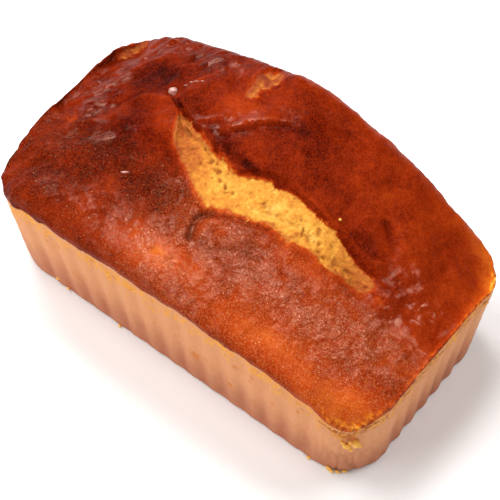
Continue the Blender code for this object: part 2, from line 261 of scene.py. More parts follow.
@dataclass(frozen=True)
class CaseForm:
    """The ribbed baking case that shaped the sides: a rounded, tapering oblong with flutes."""

    length: float = 0.205
    width: float = 0.1094
    base_inset: float = 0.004
    rim_corner: float = 0.0215
    base_corner: float = 0.0222
    base_edge: float = 0.0014
    long_flutes: int = 14
    end_flutes: int = 6
    flute_depth: float = 0.0009
    flute_fade: float = 0.012
    flute_least: float = 0.35
    long_foot_share: float = 0.35
    long_foot_height: float = 0.01
    corner_steps: int = 5
    steps_per_flute: int = 4

    @property
    def long_steps(self) -> int:
        """Even steps along a long side, corners' halves included."""
        return self.long_flutes * self.steps_per_flute + 2 * self.corner_steps

    @property
    def end_steps(self) -> int:
        """Even steps along an end, corners' halves included."""
        return self.end_flutes * self.steps_per_flute + 2 * self.corner_steps

    @staticmethod
    def on_long_side(v: Array) -> Array:
        """Whether a place on the edge of the unit square is on the front or the far side."""
        return np.minimum(v, 1.0 - v) < NEARLY_ZERO

    @staticmethod
    def _side_curve(t: Array, half_along: float, half_out: float, radius: float, share: float) -> tuple:
        """Half corner, straight and half corner: place along, place out and turn.

        Args:
            t: Share of the side, corners' halves included.
            half_along: Half of the side's length.
            half_out: Distance of the side from the middle.
            radius: Corner radius.
            share: Share of the side that each half corner takes.

        Returns:
            Place along, place out and turn of the outward direction.
        """
        start_turn = math.pi / 4 * np.clip(1.0 - t / share, 0.0, 1.0)
        end_turn = math.pi / 4 * np.clip(1.0 - (1.0 - t) / share, 0.0, 1.0)
        straight = np.clip((t - share) / (1.0 - 2.0 * share), 0.0, 1.0)
        turn = end_turn - start_turn
        along = (half_along - radius) * (2.0 * straight - 1.0) + radius * np.sin(turn)
        out = half_out - radius + radius * np.cos(turn)
        return along, out, turn

    def outline(self, u: Array, v: Array, inset: float, radius: float) -> tuple:
        """Rounded outline at places on the edge of the unit square.

        Args:
            u: Share along the loaf.
            v: Share across the loaf.
            inset: How far the outline is drawn in from the rim's.
            radius: Corner radius.

        Returns:
            x, y and the outward normal's x and y.
        """
        half_x = self.length / 2 - inset
        half_y = self.width / 2 - inset
        long_corner, end_corner = self.corner_steps / self.long_steps, self.corner_steps / self.end_steps
        along_x, out_y, turn_x = self._side_curve(u, half_x, half_y, radius, long_corner)
        along_y, out_x, turn_y = self._side_curve(v, half_y, half_x, radius, end_corner)
        sign_y = np.where(v < 0.5, -1.0, 1.0)
        sign_x = np.where(u < 0.5, -1.0, 1.0)
        on_long = self.on_long_side(v)
        x = np.where(on_long, along_x, sign_x * out_x)
        y = np.where(on_long, sign_y * out_y, along_y)
        normal_x = np.where(on_long, np.sin(turn_x), sign_x * np.cos(turn_y))
        normal_y = np.where(on_long, sign_y * np.cos(turn_x), np.sin(turn_y))
        return x, y, normal_x, normal_y

    def foot_share(self, normal_y: Array, z: Array) -> Array:
        """Share of the flutes left near the foot, where the long sides' flutes run out."""
        near_foot = 1.0 - smooth(z / self.long_foot_height)
        return 1.0 - (1.0 - self.long_foot_share) * normal_y ** 2 * near_foot

    def flute(self, u: Array, v: Array) -> Array:
        """Wave of the flutes along the outline, -0.5 on a crest and 0.5 in a groove.

        Args:
            u: Share along the loaf.
            v: Share across the loaf.

        Returns:
            Values from -0.5 to 0.5.
        """
        long_t = (u * self.long_steps - self.corner_steps) / self.steps_per_flute
        end_t = (v * self.end_steps - self.corner_steps) / self.steps_per_flute
        long_t = np.clip(long_t, 0.0, self.long_flutes)
        end_t = np.clip(end_t, 0.0, self.end_flutes)
        return -0.5 * np.cos(2.0 * math.pi * np.where(self.on_long_side(v), long_t, end_t))


@dataclass(frozen=True)
class Dome:
    """The risen top: how high it stands, where it bulges, and where its corners hang."""

    case: CaseForm
    rim: float = 0.0572
    rise: float = 0.0305
    peak_x: float = -0.002
    left_power: float = 1.65
    right_power: float = 1.8
    half_length: float = 0.09
    arch_limit: float = 1.15
    end_swell: float = 0.0045
    front_share: float = 0.06
    slope_share: float = 0.6
    slope_power: float = 0.85
    back_share: float = 0.34
    back_ramp: Ease = Ease(-0.014, 0.044)
    back_overhang: float = 0.0066
    bulge_power: float = 1.5
    bulge_side: Ease = Ease(0.01, 0.035)
    bulge_lift: float = 0.32
    edge_overhang: float = 0.0003
    edge_lift: float = 0.0012
    front_shoulder: float = 0.0055
    end_shoulder: float = 0.0085
    back_shoulder: float = 0.015
    shoulder_ends: Ease = Ease(0.08, 0.02)
    rim_lift: float = 0.002
    rim_bow: float = 0.0045
    rim_bow_x: float = 0.02
    rim_bow_reach: float = 0.085
    rim_bow_limit: float = 0.003
    rim_ripple: float = 0.0008
    rim_ripple_reach: float = 0.0062
    end_rim_lift: float = 0.0004
    end_ripple_shift: float = 0.02
    at_end: Ease = Ease(0.085, 0.012)
    corner_drops: tuple = (
        (1.0, 1.0, 0.009, 0.066, 0.042),
        (-1.0, 1.0, 0.0032, 0.034, 0.042),
        (-1.0, -1.0, 0.008, 0.026, 0.042),
        (1.0, -1.0, 0.012, 0.03, 0.014),
    )
    swells: tuple[Spot, ...] = spots((
        (-56, 21.5, 3.5, 3, 0, -0.003), (-69, 27, 10, 7, 30, -0.0016), (-48.5, 6.5, 9, 7, -30, 0.0014),
        (-41, -9, 9, 3, 53, 0.0009), (-6, -21.5, 6, 3, 107, -0.0018), (9.5, -20.5, 13, 6, -3, 0.0012),
        (-16, 20, 17, 3.5, 40, 0.0012), (-45, 26.5, 11, 3, 58, 0.0011), (-20.5, 46, 5.5, 9, 0, -0.0024),
        (-6, 50, 17, 20, 0, 0.003), (-85.5, 2, 4.5, 4.5, 0, 0.001), (60, 20, 11, 3.5, -50, -0.0011),
        (-100, 43, 11, 10, 0, -0.005), (-100, -2, 10, 30, 0, -0.0012), (30, -35, 25, 10, 10, 0.0008),
    ))
    uneven_seed: int = 17
    uneven_waves: int = 14
    uneven_height: float = 0.00045
    uneven_shortest: float = 0.018
    uneven_longest: float = 0.05

    def arch(self, x: Array) -> Array:
        """Fall of the dome from its peak towards both ends, 1 at the peak.

        Args:
            x: Places along the loaf.

        Returns:
            Values up to 1.
        """
        place = (x - self.peak_x) / self.half_length
        left = np.clip(-place, 0.0, self.arch_limit) ** self.left_power
        right = np.clip(place, 0.0, self.arch_limit) ** self.right_power
        return 1.0 - left - right

    def back_weight(self, x: Array, y: Array) -> Array:
        """How far a point belongs to the bulging far side, from 0 to 1."""
        bulge = np.clip(self.arch(x), 0.0, 1.0) ** self.bulge_power
        return self.bulge_side.of(y) * bulge

    def overhang(self, x: Array, y: Array) -> Array:
        """How far the crust stands out past the case line."""
        return self.edge_overhang + (self.back_overhang - self.edge_overhang) * self.back_weight(x, y)

    def corner_drop(self, x: Array, y: Array) -> Array:
        """How much lower the crust hangs near each corner.

        Args:
            x: Places along the loaf.
            y: Places across the loaf.

        Returns:
            Drops in metres.
        """
        total = np.zeros_like(x)
        for side_x, side_y, drop, reach_x, reach_y in self.corner_drops:
            along = smooth((side_x * x - self.case.length / 2 + reach_x) / reach_x)
            across = smooth((side_y * y - self.case.width / 2 + reach_y) / reach_y)
            total += drop * along * across
        return total

    def rim_height(self, x: Array, y: Array) -> Array:
        """Height of the line where the crust meets the case side.

        Args:
            x: Places along the loaf.
            y: Places across the loaf.

        Returns:
            Heights in metres.
        """
        bow = self.rim_bow * ((x - self.rim_bow_x) / self.rim_bow_reach) ** 2
        front = self.rim_lift - bow + self.rim_ripple * np.sin(x / self.rim_ripple_reach)
        front = np.clip(front, -self.rim_bow_limit, self.rim_bow_limit)
        end_ripple = np.sin((y + self.end_ripple_shift) / self.rim_ripple_reach)
        end = self.end_rim_lift + self.rim_ripple * end_ripple
        is_end = self.at_end.of(np.abs(x))
        return self.rim + (1.0 - is_end) * front + is_end * end - self.corner_drop(x, y)

    def uneven(self, x: Array, y: Array) -> Array:
        """Slow seeded waves over the crust.

        Args:
            x: Places along the loaf.
            y: Places across the loaf.

        Returns:
            Heights in metres, above and below 0.
        """
        draw = np.random.default_rng(self.uneven_seed)
        total = np.zeros_like(x)
        for _ in range(self.uneven_waves):
            length = draw.uniform(self.uneven_shortest, self.uneven_longest)
            heading = draw.uniform(0.0, math.pi)
            phase = draw.uniform(0.0, 2.0 * math.pi)
            along = x * math.cos(heading) + y * math.sin(heading)
            total += np.sin(2.0 * math.pi * along / length + phase)
        return total * self.uneven_height / math.sqrt(self.uneven_waves / 2)

    def crown(self, x: Array, y: Array) -> Array:
        """Height of the dome without its rounded edges.

        Args:
            x: Places along the loaf.
            y: Places across the loaf.

        Returns:
            Heights in metres.
        """
        half = self.case.width / 2
        slope = np.clip((y + half) / half, 0.0, 1.0)
        share = self.front_share + self.slope_share * slope ** self.slope_power
        share = share + self.back_share * self.back_ramp.of(y)
        return self.rim + self.end_swell - self.corner_drop(x, y) + self.rise * self.arch(x) * share

    def edge_distance(self, x: Array, y: Array) -> Array:
        """Distance in from the outline of the crust.

        Args:
            x: Places along the loaf.
            y: Places across the loaf.

        Returns:
            Distances in metres.
        """
        radius = self.case.rim_corner
        past_x = np.abs(x) - (self.case.length / 2 + self.edge_overhang - radius)
        past_y = np.abs(y) - (self.case.width / 2 + self.overhang(x, y) - radius)
        outside = np.hypot(np.clip(past_x, 0.0, None), np.clip(past_y, 0.0, None))
        inside = np.minimum(np.maximum(past_x, past_y), 0.0)
        return radius - outside - inside

    def edge_height(self, x: Array, y: Array) -> Array:
        """Height of the crust's outermost line, higher on the bulging far side.

        Args:
            x: Places along the loaf.
            y: Places across the loaf.

        Returns:
            Heights in metres.
        """
        low = self.rim_height(x, y) + self.edge_lift
        bulge = self.bulge_lift * np.clip(self.crown(x, y) - low, 0.0, None)
        return low + bulge * self.back_weight(x, y)

    def shoulder(self, x: Array, y: Array) -> Array:
        """Radius over which the crust rounds down to its edge.

        Args:
            x: Places along the loaf.
            y: Places across the loaf.

        Returns:
            Radii in metres.
        """
        ends = self.shoulder_ends.of(np.abs(x))
        back = self.back_weight(x, y)
        radius = self.front_shoulder + (self.back_shoulder - self.front_shoulder) * back
        return radius + (self.end_shoulder - self.front_shoulder) * ends * (1.0 - back)


@dataclass(frozen=True)
class Split:
    """The long tear along the top: its two lips and the valley of crumb between them."""

    left_x: float = -0.054
    right_x: float = 0.074
    near_lip: Knots = in_metres((
        (-54, 17.8), (-42.5, 8.7), (-37, -0.8), (-22.5, -8), (-10, -14.8), (13.4, -10.8), (21.4, -8.4),
        (29.4, -9.9), (41, -6.9), (48, -9), (64, -6.2), (74, 1),
    ))
    far_lip: Knots = in_metres((
        (-54, 18.4), (-34.3, 10), (-15, 3.6), (-5.7, 1.4), (2.3, 6.4), (23.5, 8.6), (36.4, 6.2),
        (46.8, 5.2), (62.7, 1.8), (74, 1.6),
    ))
    least_width: float = 0.003
    valley_depth: float = 0.0024
    valley_power: float = 1.6
    lip_step: float = 0.0016
    lip_width: float = 0.0012
    lip_roll: float = 0.001
    lip_roll_length: float = 0.007
    end_ease: float = 0.013
    rows_across_half: float = 3.0
    row_calm: float = 0.004

    def lips(self, x: Array) -> tuple[Array, Array]:
        """Y of the near and the far lip."""
        return through(self.near_lip, x), through(self.far_lip, x)

    def ends(self, x: Array, ease: float) -> Array:
        """1 along the tear, easing to 0 at both of its tips."""
        return smooth((x - self.left_x) / ease) * smooth((self.right_x - x) / ease)

    def across(self, x: Array, y: Array) -> Array:
        """Place between the lips, 0 at the near one and 1 at the far one."""
        near, far = self.lips(x)
        return np.clip((y - near) / np.maximum(far - near, NEARLY_ZERO), 0.0, 1.0)

    def relief(self, x: Array, y: Array) -> Array:
        """Change of height by the tear.

        Args:
            x: Places along the loaf.
            y: Places across the loaf.

        Returns:
            Height to add: a valley of crumb, a step up and a rolled far lip.
        """
        near, far = self.lips(x)
        across = self.across(x, y)
        valley = 1.0 - np.abs(2.0 * across - 1.0) ** self.valley_power
        crumb = -self.lip_step * across ** 2 - self.valley_depth * valley
        past = y - far
        step = np.clip(1.0 - past / self.lip_width, 0.0, 1.0)
        roll = self.lip_roll * np.exp(-np.clip(past, 0.0, None) / self.lip_roll_length)
        beyond = -self.lip_step * step + roll * (1.0 - step)
        change = np.where(y <= near, 0.0, np.where(past <= 0.0, crumb, beyond))
        return self.ends(x, self.end_ease) * change

    def gather_rows(self, x: Array, y: Array, case: CaseForm) -> Array:
        """Draw even rows together so that they run along the lips.

        Args:
            x: Places along the loaf.
            y: Even places across the loaf.
            case: Form of the case, for the spacing of its steps.

        Returns:
            The new places across the loaf.
        """
        row = case.width / case.end_steps
        near, far = self.lips(np.clip(x, self.left_x, self.right_x))
        middle = 0.5 * (near + far)
        near = np.minimum(near, middle - self.least_width / 2)
        far = np.maximum(far, middle + self.least_width / 2)
        edge = case.width / 2
        lip_row = self.rows_across_half * row
        rows = (-edge, -lip_row, lip_row, lip_row + row, edge)
        lines = (-edge + 0.0 * x, near, far, far + self.lip_width, edge + 0.0 * x)
        warped = y.copy()
        for index in range(len(rows) - 1):
            inside = (y >= rows[index]) & (y <= rows[index + 1])
            t = (y - rows[index]) / (rows[index + 1] - rows[index])
            warped = np.where(inside, lines[index] * (1.0 - t) + lines[index + 1] * t, warped)
        half = case.length / 2
        left = smooth((x + half) / (self.left_x + half - self.row_calm))
        right = smooth((half - x) / (half - self.right_x - self.row_calm))
        return y * (1.0 - left * right) + warped * left * right


class Region(Enum):
    """Which part of the skin a ring of the mesh belongs to."""

    TOP = "top"
    SIDE = "side"
    BASE = "base"


@dataclass
class Skin:
    """Points of the whole loaf's surface with what is known about each of them."""

    points: Array
    quads: Array
    base_ring: list[int]
    top: Array
    u: Array
    v: Array


@dataclass(frozen=True)
class SkinBuilder:
    """Lays a fine even skin over the loaf: a top sheet, shoulder rings, side rings and the base."""

    case: CaseForm
    dome: Dome
    split: Split
    fine: int = 5
    top_inset: float = 0.0046
    back_top_inset: float = 0.0072
    shoulder_rings: int = 8
    side_rings: int = 30
    side_top: float = 0.985
    base_rings: int = 3

    def crust_height(self, x: Array, y: Array) -> Array:
        """Height of the crust with its large relief.

        Args:
            x: Places along the loaf.
            y: Places across the loaf.

        Returns:
            Heights in metres.
        """
        rise = quarter_round(self.dome.edge_distance(x, y) / self.dome.shoulder(x, y))
        low = self.dome.edge_height(x, y)
        relief = total_of(self.dome.swells, x, y) + self.dome.uneven(x, y) + self.split.relief(x, y)
        return low + (self.dome.crown(x, y) - low + relief) * rise

    def _shoulder_point(self, u: Array, v: Array, share: float) -> tuple[Array, Array]:
        """Plan of the shoulder: share 1 at the top sheet's border, 0 at the outermost line.

        Args:
            u: Share along the loaf.
            v: Share across the loaf.
            share: Share of the way in from the outermost line.

        Returns:
            Places along and across the loaf.
        """
        x, y, normal_x, normal_y = self.case.outline(u, v, 0.0, self.case.rim_corner)
        out = self.dome.overhang(x, y)
        back = self.dome.back_weight(x, y)
        inset = self.top_inset + (self.back_top_inset - self.top_inset) * back
        move = out - share * (inset + out)
        return x + normal_x * move, y + normal_y * move

    def _sheet_plan(self, u: Array, v: Array) -> tuple[Array, Array]:
        """Plan of the top sheet: four border curves blended over the unit square.

        Args:
            u: Share along the loaf.
            v: Share across the loaf.

        Returns:
            Places along and across the loaf.
        """
        zero = np.zeros_like(u)
        one = np.ones_like(u)
        front, back = (self._shoulder_point(u, edge, 1.0) for edge in (zero, one))
        left, right = (self._shoulder_point(edge, v, 1.0) for edge in (zero, one))
        plan = []
        for axis in range(2):
            corners = [
                self._shoulder_point(corner_u, corner_v, 1.0)[axis]
                for corner_u in (zero, one)
                for corner_v in (zero, one)
            ]
            low = corners[0] * (1.0 - v) + corners[1] * v
            high = corners[2] * (1.0 - v) + corners[3] * v
            blend = front[axis] * (1.0 - v) + back[axis] * v
            blend = blend + left[axis] * (1.0 - u) + right[axis] * u
            plan.append(blend - low * (1.0 - u) - high * u)
        return plan[0], plan[1]

    def _side_ring(self, u: Array, v: Array, level: float) -> tuple[Array, Array, Array]:
        """Ring of the side: level 1 under the crust line, 0 at the top of the base edge.

        Args:
            u: Share along the loaf.
            v: Share across the loaf.
            level: Share of the side's height.

        Returns:
            Places along and across the loaf, and heights.
        """
        case = self.case
        radius = case.base_corner + (case.rim_corner - case.base_corner) * level
        x, y, normal_x, normal_y = case.outline(u, v, case.base_inset * (1.0 - level), radius)
        top = self.dome.rim_height(x, y)
        z = case.base_edge + (top - case.base_edge) * level
        fade = smooth((top - z) / case.flute_fade)
        depth = case.flute_depth * case.flute(u, v) * (case.flute_least + (1.0 - case.flute_least) * fade)
        depth = depth * case.foot_share(normal_y, z)
        return x - normal_x * depth, y - normal_y * depth, z

    def _base_ring(self, u: Array, v: Array, angle: float) -> tuple[Array, Array, Array]:
        """Ring of the small rounded edge between the side and the flat base.

        Args:
            u: Share along the loaf.
            v: Share across the loaf.
            angle: Turn round the edge, from 0 at the side to a quarter turn at the base.

        Returns:
            Places along and across the loaf, and heights.
        """
        case = self.case
        inset = case.base_inset + case.base_edge * (1.0 - math.cos(angle))
        x, y, normal_x, normal_y = case.outline(u, v, inset, case.base_corner)
        z = np.full_like(x, case.base_edge * (1.0 - math.sin(angle)))
        depth = case.flute_depth * case.flute(u, v) * case.foot_share(normal_y, z)
        return x - normal_x * depth, y - normal_y * depth, z

    def build(self) -> Skin:
        """Compute every point and quad of the skin.

        Returns:
            The skin, with its base left open as one ring of points.
        """
        columns = self.case.long_steps * self.fine
        rows = self.case.end_steps * self.fine
        steps_v, steps_u = np.linspace(0, 1, rows + 1), np.linspace(0, 1, columns + 1)
        v, u = (grid.ravel() for grid in np.meshgrid(steps_v, steps_u, indexing="ij"))
        x, y = self._sheet_plan(u, v)
        y = self.split.gather_rows(x, y, self.case)
        blocks = [np.stack([x, y, self.crust_height(x, y)], axis=1)]
        index = np.arange(len(u)).reshape(rows + 1, columns + 1)
        corners = [index[:-1, :-1], index[:-1, 1:], index[1:, 1:], index[1:, :-1]]
        quads = [np.stack(corners, axis=-1).reshape(-1, 4)]
        loop = np.concatenate([index[0, :-1], index[:-1, -1], index[-1, :0:-1], index[:0:-1, 0]])
        ring_u = u[loop]
        ring_v = v[loop]
        rings = []
        for step in range(1, self.shoulder_rings + 1):
            share = 1.0 - math.sin(math.pi / 2 * step / self.shoulder_rings)
            ring_x, ring_y = self._shoulder_point(ring_u, ring_v, share)
            rings.append((Region.TOP, (ring_x, ring_y, self.crust_height(ring_x, ring_y))))
        for step in range(self.side_rings + 1):
            level = self.side_top * (1.0 - step / self.side_rings)
            rings.append((Region.SIDE, self._side_ring(ring_u, ring_v, level)))
        for step in range(1, self.base_rings + 1):
            angle = math.pi / 2 * step / self.base_rings
            rings.append((Region.BASE, self._base_ring(ring_u, ring_v, angle)))
        top = [np.ones(len(u))]
        all_u = [u]
        all_v = [v]
        previous = loop
        count = len(u)
        for region, ring in rings:
            blocks.append(np.stack(ring, axis=1))
            fresh = count + np.arange(len(loop))
            following = np.roll(fresh, -1)
            quads.append(np.stack([previous, fresh, following, np.roll(previous, -1)], axis=-1))
            top.append(np.full(len(loop), 1.0 if region is Region.TOP else 0.0))
            all_u.append(ring_u)
            all_v.append(ring_v)
            previous = fresh
            count += len(loop)
        return Skin(
            points=np.concatenate(blocks),
            quads=np.concatenate(quads),
            base_ring=list(previous[::-1]),
            top=np.concatenate(top),
            u=np.concatenate(all_u),
            v=np.concatenate(all_v),
        )


def held_inside(points: Array, normals: Array, move: Array) -> Array:
    """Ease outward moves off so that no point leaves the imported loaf's box.

    Args:
        points: Points before they move.
        normals: Unit vectors that they move along.
        move: How far each one would move.

    Returns:
        How far each one may move.
    """
    room = np.full(len(points), 1.0)
    for place, slant, low, high in zip(points.T, normals.T, *CAD_BOX):
        gap = np.maximum(np.where(slant > 0.0, high - place, place - low), 0.0)
        room = np.minimum(room, gap / np.maximum(np.abs(slant), LEAST_SLANT))
    start = room - ROOM_EASE
    over = np.clip((move - start) / ROOM_EASE, 0.0, None)
    return np.where(move > start, start + ROOM_EASE * (1.0 - np.exp(-over)), move)


def point_normals(points: Array, quads: Array) -> Array:
    """Outward direction at each point, averaged over its quads.

    Args:
        points: Points, one a row.
        quads: Four point numbers a row.

    Returns:
        Unit vectors, one a row.
    """
    corners = points[quads]
    faces = np.cross(corners[:, 2] - corners[:, 0], corners[:, 3] - corners[:, 1])
    total = np.zeros_like(points)
    for corner in range(4):
        np.add.at(total, quads[:, corner], faces)
    return total / np.maximum(np.linalg.norm(total, axis=1), NEARLY_ZERO ** 2)[:, None]


@dataclass(frozen=True)
class Path:
    """A line over the crust, seen from above, that marks gather along."""

    points: Knots

    def distance(self, x: Array, y: Array) -> Array:
        """Distance of each place from the line.

        Args:
            x: Places along the loaf in metres.
            y: Places across the loaf in metres.

        Returns:
            Distances in metres.
        """
        nearest = np.full_like(x, 1.0)
        for (start_x, start_y), (end_x, end_y) in zip(self.points[:-1], self.points[1:]):
            step_x, step_y = end_x - start_x, end_y - start_y
            past_x, past_y = x - start_x, y - start_y
            share = np.clip((past_x * step_x + past_y * step_y) / (step_x ** 2 + step_y ** 2), 0.0, 1.0)
            nearest = np.minimum(nearest, np.hypot(past_x - share * step_x, past_y - share * step_y))
        return nearest


@dataclass(frozen=True)
class Fold:
    """A raised fold of the crust, or a sunken groove where its height is below zero."""

    path: Path
    height: float
    width: float

    def share(self, x: Array, y: Array) -> Array:
        """How far each point belongs to the fold, 1 along its line."""
        return np.exp(-(self.path.distance(x, y) / self.width) ** 2)


def folds_of(rows: tuple) -> tuple[Fold, ...]:
    """Folds from rows of height, width and the line's points, all in millimetres."""
    return tuple(Fold(Path(in_metres(points)), height * MM, width * MM) for height, width, points in rows)


@dataclass(frozen=True)
class CrustFolds:
    """The single folds, lips and grooves that can be told apart in the crust."""

    folds: tuple[Fold, ...] = folds_of((
        (-1.5, 1.5, ((-4, -17.6), (-6.6, -19), (-8.3, -22), (-7.8, -25.6), (-5.9, -29.7))),
        (1, 2.2, ((1, -19), (-3, -21.5), (-3, -26))),
        (-1.2, 1, ((-54, 18.4), (-51, 17.2), (-47, 15))),
        (-0.8, 1.3, ((5.1, -29.3), (11, -26.5), (18.5, -22.8), (24.2, -20.9))),
        (0.6, 1.1, ((-3.1, -13.5), (4.1, -12.5), (11.8, -10), (19.8, -7.9), (25.8, -7.5))),
        (-0.8, 0.9, ((-1.9, -17.7), (4, -15), (10.3, -12.8), (15.3, -11), (21.2, -8.5))),
        (0.6, 2, ((4.7, -21.7), (11.4, -19.9), (17.2, -17.1), (21.3, -14.1))),
        (0.6, 1.4, ((-22.3, 12.6), (-17.9, 17.3), (-12.5, 22.9), (-6.6, 27.8), (-1, 30))),
        (-0.6, 1.3, ((-20, 10.6), (-13.3, 16.6), (-7, 23.2), (0, 27.7), (6.7, 29.4))),
        (0.6, 1.3, ((-35.5, 12.3), (-30.2, 15.2), (-24.8, 18.8))),
        (-1, 1.6, ((56.7, 23.6), (59.4, 21.2), (62.6, 19.1), (64.9, 17.1))),
        (0.5, 1.6, ((61.2, 24.5), (67.1, 21.5), (73, 19.6))),
        (0.8, 1.3, ((-67.7, 13.8), (-63.3, 15.7), (-57.3, 16.4), (-53.4, 16.6))),
        (0.7, 1.4, ((-98.2, -0.3), (-94.6, 4.4), (-90.2, 7.4), (-89, 12.5), (-82.5, 16),
              (-79.7, 18.4))),
        (-0.6, 1.3, ((-87.7, 0.1), (-83.9, 2.1), (-80.3, 4.2))),
        (0.8, 1.4, ((-91.1, 21), (-85.4, 24.1), (-81.2, 28.8), (-80.2, 34), (-74.5, 35.3))),
        (0.8, 1.4, ((-61.6, 35), (-58.7, 38.7), (-55.9, 43.2))),
        (0.8, 1, ((-20.1, 33.2), (-19.8, 37.2), (-17.7, 39.3), (-14.3, 39.7), (-13, 41.9),
              (-13.9, 44.7), (-16.9, 48.4))),
        (0.8, 1, ((-28.3, 40.6), (-27.7, 44.1), (-26.7, 47.6), (-25.3, 51.4), (-23.2, 53.2))),
        (0.6, 1, ((22.4, 9.5), (28.7, 9.6), (34.1, 8.8), (40.8, 8.2), (46.3, 8.4), (53.8, 6.9),
              (61.8, 5.6), (67.6, 5.3))),
        (0.5, 1.3, ((-66.8, -41.1), (-60.6, -43), (-55.9, -43.1), (-51.6, -44.9))),
        (0.5, 1.5, ((-17.8, -41), (-9.6, -41.2), (-2.4, -40.1))),
        (0.6, 1.4, ((-80, -6), (-74, -1), (-70, 4))),
        (-0.6, 1.2, ((-77, 6), (-72, 11), (-69, 16))),
        (0.6, 1.3, ((-50, 30), (-46, 35), (-43, 41))),
        (1.2, 1.4, ((63, 7), (64, 8))),
    ))

    def height(self, x: Array, y: Array) -> Array:
        """Height of all folds and grooves at each point."""
        return sum((fold.height * fold.share(x, y) for fold in self.folds), np.zeros_like(x))


@dataclass
class Surface:
    """Values from 0 to 1 that tell the finish what each point of the skin is."""

    side: Array
    crumb: Array
    bake: Array
    haze: Array
    pit: Array
    gold: Array
    groove: Array
    flaked: Array
    depth: Array

    @classmethod
    def names(cls) -> list[str]:
        """Names of the masks."""
        return [field.name for field in fields(cls)]


